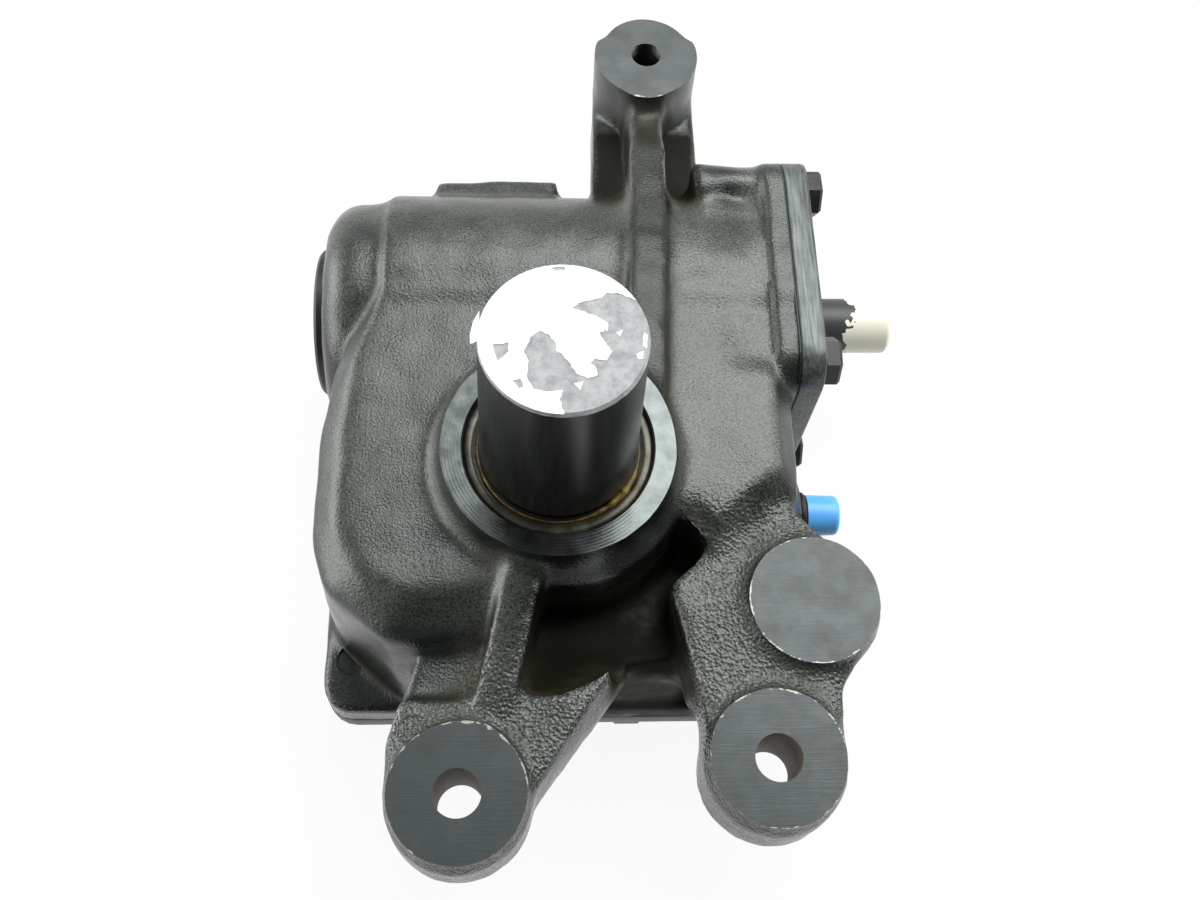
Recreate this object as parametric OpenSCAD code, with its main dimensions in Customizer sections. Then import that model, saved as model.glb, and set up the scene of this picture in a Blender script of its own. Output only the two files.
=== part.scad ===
// Steering gearbox: a recirculating-ball gear in a cast housing with three mounting ears.
// The origin lies on the sector shaft's axis at the machined boss face.
// +Z is the output end of the sector shaft and +X the input end of the worm.

/* [Gear train] */
// Height of the worm axis above the sector axis, along Y
worm_y = 95; // [93:0.5:99]
// Depth of the worm axis below the boss face
worm_depth = 69; // [67:0.5:74]
// Module of the sector and rack teeth
tooth_module = 7.5; // [7.3:0.1:7.7]
// Teeth that a full circle of the sector would have
full_teeth = 16; // [16:1:16]
// Teeth on the sector
sector_teeth = 5; // [3:2:5]
// Pressure angle of the teeth
pressure_angle = 25; // [22:1:27]
// Play between the flanks at the pitch line
backlash = 0.5; // [0.4:0.05:0.8]
// Face width of the sector
sector_w = 36; // [28:1:38]
// Turns of the worm for one turn of the sector
steering_ratio = 24; // [20:1:28]
// Sector swing each way, in degrees
sector_swing = 40; // [20:1:40]

/* [Sector shaft] */
// Diameter of the journal that runs in the bushings and the seal
journal_d = 57; // [54:0.5:60]
// Diameter over the serrations of the output end
serration_d = 53; // [48:0.5:53]
// Serrations around the output end
serration_n = 48; // [36:2:60]
// Height of the shaft's end above the boss face
shaft_top = 78.6; // [60:0.1:90]
// Diameter of the rear journal in the side cover
rear_journal_d = 50; // [44:1:52]
// Running clearance on the radius of every journal
running_gap = 0.05; // [0.02:0.01:0.08]
// Wall of the bushings
bushing_wall = 3.5; // [2.5:0.25:4]

/* [Worm and ball nut] */
// Outside diameter of the worm
worm_d = 31; // [28:0.5:32]
// Diameter of the worm's bearing journals
worm_journal_d = 25; // [22:0.5:26]
// Diameter of the input shaft
input_d = 22.2; // [19:0.1:23]
// End of the input shaft along X
input_end = 153.5; // [145:0.5:160]
// Diameter of the recirculating balls
ball_d = 7; // [6.5:0.25:7]
// Length of the ball nut
nut_l = 92; // [88:1:93]
// Diameter of the ball nut before its flats are cut
nut_d = 90; // [88:0.5:90.5]
// Turns of the ball circuit
ball_turns = 2.5; // [1.5:0.5:2.5]

/* [Housing] */
// Outer diameter of the worm barrel
barrel_d = 115; // [112:1:117]
// Bore of the worm barrel
bore_d = 92; // [91.5:0.5:93]
// Diameter of the round boss at the closed end
end_boss_d = 107; // [104:1:110]
// Edge radius of that round boss
end_boss_edge = 15; // [8:1:18]
// Outer diameter of the machined sector boss
boss_d = 90.8; // [88:0.2:94]
// Depth of the front wall's cast face below the boss face
front_depth = 13; // [10:0.5:16]
// Thickness of the front wall
front_wall = 14; // [11:0.5:15]
// Height of the rear flange's top below the boss face
flange_depth = 95; // [92:0.5:97]
// Thickness of the rear flange
flange_t = 13.5; // [11:0.5:14]
// Half width of the rear flange
flange_half_w = 98.5; // [97.5:0.5:101]
// Lower edge of the rear flange
flange_low = 79; // [77:0.5:81]

/* [Mounting ears] */
// Depth of the machined mounting faces below the boss face
mount_depth = 19; // [17:0.5:21]
// Diameter of the machined mounting faces
face_d = 50; // [46:0.5:52]
// Thickness of the ears
ear_t = 32; // [28:0.5:34]
// Diameter of the bolt holes
ear_hole_d = 17.5; // [13:0.5:20]
// Minor diameter of the threaded hole in the top ear
thread_hole_d = 13.8; // [10:0.2:16]
// Depth of the threaded hole
thread_depth = 27; // [20:1:28]
// Step of the machined faces above the casting round them
face_step = 4; // [3:0.5:5]

/* [End cover] */
// Width of the square end cover
end_cover_w = 114; // [112:1:118]
// Thickness of the end cover
end_cover_t = 11; // [10:0.5:14]
// Distance of the end cover's bolts from its edges
end_bolt_edge = 14; // [12.5:0.5:15]
// Corner radius of the end cover
end_corner_r = 15; // [10:1:18]
// Thickness of the shim pack under the end cover
shim_t = 0.6; // [0.3:0.1:1]
// Inner face of the end cover along X
cover_x = 101; // [100.5:0.5:104]

/* [Side cover] */
// Thickness of the side cover's plate
side_cover_t = 9.5; // [8:0.5:10]
// Thickness of the side cover gasket
gasket_t = 0.5; // [0.3:0.1:1]
// Diameter of the side cover's round centre
side_centre_d = 84; // [80:1:88]
// Diameter of the lash adjusting screw
adjuster_d = 12; // [10:1:14]

/* [Bearings and fasteners] */
// Width of the worm bearings
bearing_w = 10; // [9:0.5:10.5]
// Outer diameter of the worm bearings
bearing_d = 52; // [50:1:54]
// Diameter of the bearing balls
bearing_ball_d = 7; // [6:0.25:7.25]
// Balls in each bearing
bearing_balls_n = 11; // [8:1:12]
// Thread diameter of the cover bolts
bolt_d = 12; // [10:0.5:12]
// Width across flats of the bolt heads
bolt_af = 18.5; // [17:0.5:19]
// Height of the bolt heads
bolt_head_h = 7.4; // [6:0.1:7.5]

/* [Seals and shipping caps] */
// Outer diameter of the sector seal
sector_seal_d = 73.3; // [70:0.1:76]
// Width of the sector seal
sector_seal_w = 9; // [7:0.5:10]
// Depth of the sector seal below the boss face
sector_seal_depth = 1.5; // [1:0.25:3]
// Outer diameter of the input seal
input_seal_d = 40; // [36:1:44]
// Outer diameter of the sector cap at its top
sector_cap_d = 57; // [56.5:0.1:60]
// Outer diameter of the sector cap at its foot
sector_cap_foot_d = 60.5; // [60:0.1:62]
// Wall of the sector cap's top
sector_cap_t = 1.9; // [1:0.1:3]
// Height of the sector cap's foot above the boss face
sector_cap_foot = 1.6; // [1:0.1:4]
// Outer diameter of the input cap
input_cap_d = 25.2; // [24.6:0.1:27]
// Wall of the input cap's end
input_cap_t = 2; // [1:0.1:3]
// Outer diameter of the port plug's head
port_plug_d = 16.5; // [14:0.5:18]
// Length of the port plug's head
port_plug_l = 13.5; // [8:0.5:16]
// Diameter of the port's thread
port_d = 14; // [12:0.5:14.5]

/* [Hidden] */
$fn = 64;
eps = 0.02;
far = 400;
worm_z = -worm_depth;
pitch_r = tooth_module * full_teeth / 2;
base_r = pitch_r * cos(pressure_angle);
tip_r = pitch_r + tooth_module;
dedendum = 1.23 * tooth_module;
root_r = pitch_r - dedendum;
tooth_pitch = PI * tooth_module;
tooth_step = 360 / full_teeth;
lead = 2 * PI * pitch_r / steering_ratio;
nut_travel = pitch_r * sector_swing * PI / 180;
barrel_r = barrel_d / 2;
bore_r = bore_d / 2;
journal_r = journal_d / 2;
rear_journal_r = rear_journal_d / 2;
bushing_r = journal_r + running_gap + bushing_wall;
rear_bushing_r = rear_journal_r + running_gap + bushing_wall;
side_hub_r = rear_bushing_r + 7;

// Levels along Z, from the output end to the rear
mount_z = -mount_depth;
front_z = -front_depth;
roof_z = front_z - front_wall;
sector_top = worm_z + sector_w / 2;
sector_low = worm_z - sector_w / 2;
washer_t = 1.8;
end_play = 0.1;
hub_low = sector_top + end_play + washer_t;
flange_top = -flange_depth;
flange_face = flange_top - flange_t;
cover_top = flange_face - gasket_t;
cover_face = cover_top - side_cover_t;
rest_z = worm_z - barrel_r;
rear_end_wall = 8;
nut_pocket_h = 9.5;
rear_wall_top = rest_z + nut_pocket_h + rear_end_wall;
rear_shaft_end = rear_wall_top + 0.5;
rear_hub_top = sector_low - 1.5;
serrated_low = 14;
adjuster_head_r = adjuster_d * 0.8;
adjuster_head_h = 4.7;
slot_gap = 0.3;
seal_case_t = 1.2;
slot_low = rear_shaft_end + 3;

// Places along X on the worm axis
housing_end_x = cover_x - shim_t;
end_flange_t = 9;
end_block_l = 26;
flange_back_x = housing_end_x - end_flange_t;
block_back_x = flange_back_x - end_block_l;
cover_out_x = cover_x + end_cover_t;
input_seal_w = 7.5;
bearing_gap = 0.4;
race_out_x = cover_x - bearing_gap;
race_in_x = race_out_x - bearing_w;
nut_reach = nut_l / 2 + nut_travel;
closed_x = -nut_reach - 0.9;
closed_race_x = closed_x - bearing_w;
end_boss_x = closed_race_x - 1.5;
barrel_left_x = -73;
end_plug_rim = 11;
end_plug_d = end_boss_d - 2 * end_boss_edge - end_plug_rim;
end_plug_t = 4.5;
end_bolt_half = end_cover_w / 2 - end_bolt_edge;

// Ball track on the worm and in the nut
ball_r = ball_d / 2;
ball_pitch_r = worm_d / 2 + ball_r * 0.43;
track_r = ball_r + 0.45;
nut_bore_r = ball_pitch_r + ball_r + 0.3;
track_l = 2 * (nut_travel + lead * ball_turns / 2 + ball_d + 2);
guide_r = ball_r + 1;
guide_leg_x = lead * ball_turns / 2;
nut_top = 32;
nut_half_z = 33;
clamp_half = 15;
clamp_screw_r = 3;
clamp_screw_l = 10;
clamp_t = 2;

// Bearing rings
bearing_r = bearing_d / 2;
worm_journal_r = worm_journal_d / 2;
bearing_pitch_r = (bearing_r + worm_journal_r) / 2;
bearing_ball_r = bearing_ball_d / 2;
ring_gap = bearing_ball_r * 0.55;
race_gap = 0.06;

// Mounting ears, given at the centres of their faces and holes
left_ear = [-36.7, -127];
right_ear = [79, -116];
right_pad = [98, -56];
top_ear = [43.5, 212];
ear_r = face_d / 2;

// Lines of the casting in plan
wall_x = flange_half_w - 2;
right_x = housing_end_x - 1.4;
wall_low = 3 - flange_low;
boss_r = boss_d / 2;
valley_z = front_z - 37;
flange_drop = flange_face - worm_z;
joint_gap = 2.2;
rear_top = worm_y - sqrt(barrel_r * barrel_r - flange_drop * flange_drop) - joint_gap;
notch_y = worm_y - end_cover_w / 2 - 7;
notch_x = block_back_x - 4.4;

// Bolts
bolt_r = bolt_d / 2;
side_bolt_x = flange_half_w - 11.5;
side_bolt_low = 10 - flange_low;
corner_bolt_y = 22 - flange_low;
side_bolts = [[-side_bolt_x, corner_bolt_y], [side_bolt_x, corner_bolt_y], [-side_bolt_x, rear_top - 21],
    [side_bolt_x, notch_y - 13], [-32, side_bolt_low], [32, side_bolt_low],
    [-40, rear_top - 11], [40, rear_top - 11]];
end_bolts = [for (sy = [-1, 1], sz = [-1, 1]) [worm_y + sy * end_bolt_half, worm_z + sz * end_bolt_half]];
end_bolt_l = 24;

// Oil port on the right wall
port_y = -9;
port_z = -50;
port_face_x = right_x + 1;
port_r = port_d / 2;
fitting_l = 4;
fitting_thread_l = 10;
fitting_hole_r = port_r - 2.5;
oring_r = 1.6;
plug_gap = 0.15;
cap_gap = 0.2;
end_gap = 0.02;

cast_paint = "#2b2d2b";
machined = "#6d7073";
steel = "#9a9c9f";
bronze = "#a5824a";
dark_steel = "#3a3c3d";

// Outline helpers

function unit(v) = v / norm(v);
function turn_to(a, b) = let (d = b - a) d > 180 ? d - 360 : d < -180 ? d + 360 : d;

// One corner of an outline as an arc of radius r that touches both of its edges
function corner(before, at, after, r, steps) = let (
        u = unit(before - at),
        v = unit(after - at),
        half = acos(u * v) / 2,
        centre = at + unit(u + v) * r / sin(half),
        first = at + u * r / tan(half) - centre,
        last = at + v * r / tan(half) - centre,
        a0 = atan2(first.y, first.x),
        sweep = turn_to(a0, atan2(last.y, last.x)))
    [for (i = [0:steps]) centre + r * [cos(a0 + sweep * i / steps), sin(a0 + sweep * i / steps)]];

// An outline from [x, y, r] points, each corner rounded by its own r
function rounded(points, steps = 5) = let (n = len(points), xy = [for (p = points) [p.x, p.y]])
    [for (i = [0:n - 1]) each points[i].z > 0
        ? corner(xy[(i + n - 1) % n], xy[i], xy[(i + 1) % n], points[i].z, steps)
        : [xy[i]]];

function box_outline(x0, x1, y0, y1, r) = rounded([[x0, y0, r], [x1, y0, r], [x1, y1, r], [x0, y1, r]]);

module slab(outline, z0, z1) {
    translate([0, 0, z0]) linear_extrude(z1 - z0) polygon(outline);
}

module disc(r, z0, z1, at = [0, 0]) {
    translate([at.x, at.y, z0]) cylinder(r = r, h = z1 - z0);
}

module ring(r, hole, z0, z1) {
    difference() {
        disc(r, z0, z1);
        disc(hole, z0 - 1, z1 + 1);
    }
}

// Children drawn along local Z stand along X on the worm axis, from x
module on_worm_axis(x = 0) {
    translate([x, worm_y, worm_z]) rotate([0, 90, 0]) children();
}

module rod_x(r, x0, x1, y = worm_y, z = worm_z) {
    translate([x0, y, z]) rotate([0, 90, 0]) cylinder(r = r, h = x1 - x0);
}

// A straight rib between two plan points with its own top level at each end
module rib(from, to, width, top_from, top_to, low) {
    run = norm(to - from);
    translate([from.x, from.y, 0]) rotate([0, 0, atan2(to.y - from.y, to.x - from.x)])
        rotate([90, 0, 0]) linear_extrude(width, center = true)
            polygon([[0, low], [run, low], [run, top_to], [0, top_from]]);
}

module hex_head(af, h) {
    cylinder(r = af / sqrt(3), h = h, $fn = 6);
}

// Casting outlines

// Plans of the sector chamber: at the flat front, at its rounded edge and at the walls
chamber_front = rounded([[30.5 - wall_x, worm_y, 0], [14.5 - wall_x, 46, 14], [11.5 - wall_x, 10, 14],
    [11.5 - wall_x, -28, 14], [20.5 - wall_x, -45, 12], [-58, wall_low + 22, 8], [-34, wall_low + 24, 8],
    [34, wall_low + 30, 12], [54, -14, 10], [right_x - 11, -4, 10], [right_x - 11, worm_y, 0]]);
chamber_edge = rounded([[23.5 - wall_x, worm_y, 0], [5.5 - wall_x, 46, 16], [1 - wall_x, 14, 16],
    [1 - wall_x, -30, 16], [7.5 - wall_x, -50, 14], [-64, wall_low + 5, 8], [-34, wall_low + 14, 8],
    [36, wall_low + 19, 12], [62, -24, 10], [right_x - 2, -12, 10], [right_x - 1, worm_y, 0]]);
chamber_walls = rounded([[22.5 - wall_x, worm_y, 0], [4.5 - wall_x, 46, 16], [-wall_x, 14, 16],
    [-wall_x, -30, 16], [5.5 - wall_x, -50, 14], [-62, wall_low, 8], [50, wall_low, 10],
    [right_x - 2, -40, 14], [right_x, 20, 14], [right_x, worm_y, 0]]);

// Plan of the rear flange, the gasket and the side cover: it steps down under the end cover's flange
rear_outline = rounded([[-flange_half_w, -flange_low, 13], [flange_half_w, -flange_low, 13],
    [flange_half_w, notch_y, 12], [notch_x, notch_y, 8], [notch_x - 8, rear_top, 5],
    [-flange_half_w, rear_top, 13]]);
opening_x = flange_half_w - 24.5;
opening = box_outline(-opening_x, opening_x, 20 - flange_low, rear_top - 23, 24);

// The opening under the side cover, with room for the cover's hub
module opening_cut(z0, z1) {
    slab(opening, z0, z1);
    disc(side_hub_r + 1, z0, z1);
}

module chamber_shell() {
    edge = 11;
    slope = 44;
    slope_z = front_z - slope;
    slab(chamber_walls, flange_face, slope_z);
    hull() {
        slab(chamber_walls, slope_z - 1, slope_z);
        slab(chamber_edge, front_z - edge - 1, front_z - edge);
        slab(chamber_front, front_z - 1, front_z);
    }
}

module end_boss() {
    r = end_boss_d / 2;
    l = barrel_left_x + 6 - end_boss_x;
    edge = end_boss_edge;
    arc = [for (a = [0:15:90]) [r - edge + edge * sin(a), edge - edge * cos(a)]];
    on_worm_axis(end_boss_x) rotate_extrude() polygon(concat([[0, 0]], arc, [[r, l], [0, l]]));
}

module square_block(x0, x1, half, r) {
    on_worm_axis(x0) linear_extrude(x1 - x0) polygon(box_outline(-half, half, -half, half, r));
}

module barrel() {
    inset = 4;
    lug_r = end_corner_r - 2;
    rod_x(barrel_r, barrel_left_x, housing_end_x);
    end_boss();
    square_block(flange_back_x, housing_end_x, end_cover_w / 2, end_corner_r);
    square_block(block_back_x, flange_back_x + 1, end_cover_w / 2 - inset, 1.6 * end_corner_r);
    for (b = end_bolts) rod_x(lug_r, block_back_x - inset, flange_back_x + 1, b.x, b.y);
}

// A plain cast pad on the barrel's upper side
module barrel_pad() {
    rise = 7;
    low = 16;
    size = [57, barrel_r + rise, 40];
    translate([-55, worm_y, worm_z - low]) cube(size);
}

// The sector boss stands on a skirt that reaches down into the valley below it
module sector_boss() {
    ledge = 6;
    foot = 8.5;
    rotate_extrude() polygon([[0, 0], [boss_r, 0], [boss_r, -3.6], [boss_r + 1, front_z + 4],
        [boss_r + 3.5, front_z], [boss_r + ledge, front_z - 3], [boss_r + foot, valley_z - 1], [0, valley_z - 1]]);
}

// A round ear: its cast foot is a little wider than its machined face
module ear_post(at, low) {
    spread = 2;
    cone = 3;
    disc(ear_r, low, mount_z, at);
    translate([at.x, at.y, mount_z - face_step - cone]) cylinder(r1 = ear_r + spread, r2 = ear_r, h = cone);
    disc(ear_r + spread, low, mount_z - face_step - cone + eps, at);
}

module left_arm() {
    low = mount_z - ear_t;
    ear = left_ear;
    side = ear_r + 1.5;
    top = mount_z - face_step;
    recess_low = -92;
    difference() {
        hull() {
            slab(rounded([[-50, -64, 6], [ear.x - side, -108, 14], [ear.x - side, ear.y, 0],
                [ear.x + side, ear.y, 0], [ear.x + side + 2, -119, 8], [21, -79, 6], [14, -60, 0]]), top - 1, top);
            slab(rounded([[-52, -64, 6], [ear.x - side, -108, 14], [ear.x - side, ear.y, 0],
                [ear.x + side + 2, ear.y, 0], [ear.x + side + 8, -119, 8], [29, -78, 6], [20, -60, 0]]), low, low + 1);
        }
        // The recess to the left of the rib
        slab(rounded([[-60, -50, 3], [-60, recess_low, 3], [-31, recess_low, 5], [-20, -50, 3]]), top - 8, 0);
    }
    ear_post(ear, low);
}

module left_arm_rib() {
    rib([-10.5, -36], [-26.5, -104], 14.5, -5, mount_z - face_step + 1, mount_z - ear_t + 4);
}

module right_arm() {
    low = mount_z - ear_t - 12;
    ear = right_ear;
    pad = right_pad;
    plan = rounded([[42, -6, 3], [46, -17, 3], [59.5, -32, 5], [53, -40, 5], [42.5, -48.5, 6], [54, -98, 12],
        [ear.x - ear_r - 1, ear.y, 0],
        [ear.x + ear_r + 1, ear.y, 0], [106, -90, 10], [pad.x + ear_r + 1.5, pad.y - 6, 12],
        [pad.x + ear_r, pad.y + 8, 14], [pad.x - 2, -19, 10], [84, -9, 12], [62, 4, 8]]);
    difference() {
        slab(plan, low, mount_z - face_step);
        // The ear is thinner than the arm behind it
        translate([-far / 2, ear.y + ear_r + 3 - far, mount_z - ear_t - far]) cube(far);
    }
    // The neck that runs from the sector boss to the pad
    rib([44.5, -9.2], [68, -33.8], 11, front_z + 2, mount_z - face_step + 1, low);
    ear_post(ear, mount_z - ear_t);
    ear_post(pad, low);
}

// The valley between the sector boss and the lower arms: its floor rises towards the left ear
module valley() {
    plan = rounded([[-5.5, -40, 3], [-15.5, -91, 5], [-1, -91, 7], [14.5, -84.5, 3], [19, -80, 2], [34, -95, 3],
        [56, -95, 3], [56, -50, 3], [66, -32, 5], [50, -12, 3], [36, -16, 3]]);
    rise_from = -66;
    rise_to = -92;
    shallow = mount_z - face_step - 10;
    intersection() {
        slab(plan, valley_z, 1);
        rotate([90, 0, 90]) linear_extrude(far, center = true) polygon([[0, 1], [0, valley_z],
            [rise_from, valley_z], [rise_to, shallow], [rise_to, 1]]);
    }
}

module top_arm() {
    low = mount_z - ear_t;
    ear = top_ear;
    half = ear_r - 1;
    web_top = mount_z - 26;
    tip_r = ear_r - 4;
    slab([[ear.x - half - 2, worm_y + 30], [ear.x + half + 2, worm_y + 30],
        [ear.x + half, ear.y - 4], [ear.x - half, ear.y - 4]], web_top - 30, web_top);
    rib([ear.x - 9, 18], [ear.x - 4, worm_y + 8], 15.5, -3, front_z + 6, worm_z);
    rib([ear.x - 4.4, worm_y - 2], [ear.x, ear.y - 16], 16, front_z + 6.7, mount_z - face_step + 1, worm_z);
    intersection() {
        disc(ear_r - 0.8, low, mount_z, ear);
        // The tip of the ear is cast a little narrower than its machined face
        union() {
            disc(tip_r, low, mount_z, [ear.x, ear.y + 1]);
            translate([ear.x - ear_r, ear.y - 2 * ear_r, low - 1]) cube([face_d, 2 * ear_r + 9, far]);
        }
    }
}

module rear_flange() {
    slab(rear_outline, flange_face, flange_top);
}

module port_boss() {
    wall = 5;
    rod_x(port_plug_d / 2 + wall, port_face_x - 20, port_face_x, port_y, port_z);
}

// The hollow that the sector, the nut and the worm move in
module inside() {
    left = 15.5 - wall_x;
    right = right_x - 18;
    step = 9;
    swept = tip_r + 2;
    slab(box_outline(left + step, right - step, -6, 40, 20), worm_z + 20, roof_z);
    slab(box_outline(left, right, -14, 40, 26), worm_z, worm_z + 22);
    slab(box_outline(left, right, wall_low + 14, 40, 26), flange_top, worm_z + 2);
    opening_cut(flange_face - 1, flange_top + eps);
    disc(bushing_r + 12.5, sector_low - 3, hub_low + 1);
    intersection() {
        disc(swept, sector_low - 3, hub_low + 1);
        translate([-swept, -16, sector_low - 3]) cube(2 * swept);
    }
    rod_x(bore_r, closed_x, housing_end_x + 1);
    rod_x(bearing_r, end_boss_x - 1, closed_x + 1);
}

// The bearing hub that hangs from the front wall inside the chamber
module front_hub() {
    disc(bushing_r + 10, hub_low, roof_z + eps);
}

module casting_holes() {
    disc(bushing_r, hub_low - 1, 1);
    disc(sector_seal_d / 2, -sector_seal_depth - sector_seal_w, 1);
    for (ear = [left_ear, right_ear]) disc(ear_hole_d / 2, mount_z - ear_t - far, 1, ear);
    disc(thread_hole_d / 2, mount_z - thread_depth, 1, top_ear);
    for (b = side_bolts) disc(bolt_r, flange_face - 1, flange_top + eps, b);
    for (b = end_bolts) rod_x(bolt_r, cover_x - end_bolt_l, cover_x + 1, b.x, b.y);
    rod_x(port_r, port_face_x - 30, port_face_x + 1, port_y, port_z);
}

module housing() {
    color(cast_paint) difference() {
        union() {
            difference() {
                union() {
                    difference() {
                        union() {
                            chamber_shell();
                            left_arm();
                        }
                        valley();
                    }
                    barrel();
                    barrel_pad();
                    sector_boss();
                    left_arm_rib();
                    right_arm();
                    top_arm();
                    rear_flange();
                    port_boss();
                }
                inside();
            }
            front_hub();
        }
        casting_holes();
    }
}

// Covers

module side_cover() {
    rib_w = 8;
    rib_l = 72;
    rib_h = (cover_face - rest_z) / 2;
    color(cast_paint) difference() {
        union() {
            slab(rear_outline, cover_face, cover_top);
            disc(side_centre_d / 2, rest_z, cover_face + 1);
            disc(side_hub_r, cover_top - 1, rear_hub_top);
            for (a = [0, 180, 270]) rotate([0, 0, a])
                translate([0, -rib_w / 2, cover_face - rib_h]) cube([rib_l, rib_w, rib_h + 1]);
        }
        disc(rear_bushing_r, rear_wall_top, rear_hub_top + 1);
        disc(adjuster_d / 2, rest_z - 1, rear_wall_top + 1);
        disc(adjuster_d + 5, rest_z - 1, rest_z + nut_pocket_h);
        for (b = side_bolts) disc(bolt_r, cover_face - 1, cover_top + 1, b);
    }
}

module side_cover_gasket() {
    color("#5b4a35") difference() {
        slab(rear_outline, cover_top, flange_face);
        opening_cut(cover_top - 1, flange_face + 1);
        for (b = side_bolts) disc(bolt_r, cover_top - 1, flange_face + 1, b);
    }
}

module side_cover_bolts() {
    color(dark_steel) for (b = side_bolts) {
        disc(bolt_r, cover_face - eps, flange_top, b);
        translate([b.x, b.y, cover_face - bolt_head_h]) hex_head(bolt_af, bolt_head_h);
    }
}

module end_plate_outline(x0, x1) {
    square_block(x0, x1, end_cover_w / 2, end_corner_r);
}

module end_cover() {
    color(machined) difference() {
        union() {
            end_plate_outline(cover_x, cover_out_x);
            rod_x(bore_r - 0.1, race_in_x, cover_x + 1);
        }
        rod_x(bearing_r, race_in_x - 1, race_out_x);
        rod_x(input_d / 2 + 1, race_out_x - 1, cover_out_x + 1);
        rod_x(input_seal_d / 2, cover_out_x - input_seal_w, cover_out_x + 1);
        for (b = end_bolts) rod_x(bolt_r, cover_x - 1, cover_out_x + 1, b.x, b.y);
    }
}

module end_cover_shims() {
    color("#8d8a80") difference() {
        end_plate_outline(housing_end_x, cover_x);
        rod_x(bore_r, housing_end_x - 1, cover_x + 1);
        for (b = end_bolts) rod_x(bolt_r, housing_end_x - 1, cover_x + 1, b.x, b.y);
    }
}

module end_cover_bolts() {
    color(dark_steel) for (b = end_bolts) {
        rod_x(bolt_r, cover_x - end_bolt_l, cover_out_x + eps, b.x, b.y);
        translate([cover_out_x, b.x, b.y]) rotate([0, 90, 0]) hex_head(bolt_af, bolt_head_h);
    }
}

module end_plug() {
    chamfer = 1.2;
    r = end_plug_d / 2;
    seat = closed_race_x - end_boss_x;
    color(machined) on_worm_axis(end_boss_x) rotate_extrude() polygon([
        [0, -end_plug_t], [r - chamfer, -end_plug_t], [r, chamfer - end_plug_t], [r, 0],
        [bearing_r, 0], [bearing_r, seat], [worm_journal_r + 4, seat], [worm_journal_r + 4, seat - 3], [0, seat - 3]]);
}

// Sector shaft and what carries it

function involute(angle) = tan(angle) - angle * PI / 180;
function half_tooth(r) = let (at_base = (tooth_pitch - backlash) / 4 / pitch_r + involute(pressure_angle))
    (at_base - involute(acos(min(1, base_r / r)))) * 180 / PI;

// One sector tooth that points along +Y, with involute flanks
module sector_tooth(flank_steps = 7) {
    foot_r = root_r - 3;
    radii = [for (i = [0:flank_steps]) base_r + (tip_r - base_r) * i / flank_steps];
    right = concat([[foot_r * sin(half_tooth(base_r)), foot_r * cos(half_tooth(base_r))]],
        [for (r = radii) r * [sin(half_tooth(r)), cos(half_tooth(r))]]);
    polygon(concat(right, [for (i = [len(right) - 1:-1:0]) [-right[i].x, right[i].y]]));
}

module sector_gear() {
    last = (sector_teeth - 1) / 2;
    spread = last * tooth_step + half_tooth(base_r) + 1;
    fan = [for (a = [-spread:spread / 12:spread + 0.01]) root_r * [sin(a), cos(a)]];
    translate([0, 0, sector_low]) {
        for (k = [-last:last]) linear_extrude(sector_w) rotate(k * tooth_step) sector_tooth();
        linear_extrude(sector_w) polygon(concat([[0, -6]], [for (i = [len(fan) - 1:-1:0]) fan[i]]));
    }
}

module sector_shaft() {
    serration_cut = 1.5;
    chamfer = 2;
    color(steel) difference() {
        union() {
            sector_gear();
            disc(journal_r + 3, sector_low, sector_top);
            disc(rear_journal_r, rear_shaft_end, sector_low + 1);
            disc(journal_r, sector_top - 1, serrated_low);
            disc(serration_d / 2, serrated_low - 1, shaft_top - chamfer);
            translate([0, 0, shaft_top - chamfer])
                cylinder(r1 = serration_d / 2, r2 = serration_d / 2 - chamfer, h = chamfer);
        }
        for (k = [0:serration_n - 1]) rotate([0, 0, k * 360 / serration_n])
            translate([serration_d / 2, 0, serrated_low + 4]) rotate([0, 0, 45])
                translate([-serration_cut / 2, -serration_cut / 2, 0]) cube([serration_cut, serration_cut, far]);
        // T-slot for the head of the adjusting screw
        translate([-far / 2, -adjuster_head_r - slot_gap, slot_low])
            cube([far, 2 * (adjuster_head_r + slot_gap), adjuster_head_h + 2 * slot_gap]);
        translate([-far / 2, -adjuster_d / 2 - slot_gap, rear_shaft_end - 1])
            cube([far, adjuster_d + 2 * slot_gap, slot_low - rear_shaft_end + 2]);
    }
}

module front_bushing() {
    color(bronze) ring(bushing_r, journal_r + running_gap, hub_low, -sector_seal_depth - sector_seal_w - 3);
}

module rear_bushing() {
    color(bronze) ring(rear_bushing_r, rear_journal_r + running_gap, rear_wall_top + 1, rear_hub_top);
}

module thrust_washer() {
    color(bronze) ring(bushing_r + 7, journal_r + 0.4, hub_low - washer_t, hub_low);
}

module sector_seal() {
    rim = 6.2;
    r = sector_seal_d / 2;
    top = -sector_seal_depth;
    low = top - sector_seal_w;
    color(steel) rotate_extrude() polygon([[r, low], [r, top], [r - rim, top], [r - rim, top - seal_case_t],
        [r - seal_case_t, top - seal_case_t], [r - seal_case_t, low]]);
}

module sector_seal_lip() {
    r = sector_seal_d / 2 - seal_case_t;
    top = -sector_seal_depth - seal_case_t;
    low = -sector_seal_depth - sector_seal_w;
    lip = journal_r + running_gap;
    color("#202020") rotate_extrude() polygon([[r, low], [r, top], [lip + 0.9, top], [lip, top - 1.5],
        [lip + 1, top - 3], [lip + 1, low + 2], [lip + 4, low]]);
}

module adjusting_screw() {
    screw_low = rest_z + 1;
    driver_slot = [2, far, 5];
    head_low = slot_low + slot_gap;
    color(dark_steel) difference() {
        union() {
            disc(adjuster_d / 2, screw_low, head_low + 1);
            disc(adjuster_head_r, head_low, head_low + adjuster_head_h);
        }
        translate([0, 0, screw_low]) cube(driver_slot, center = true);
    }
}

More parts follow.
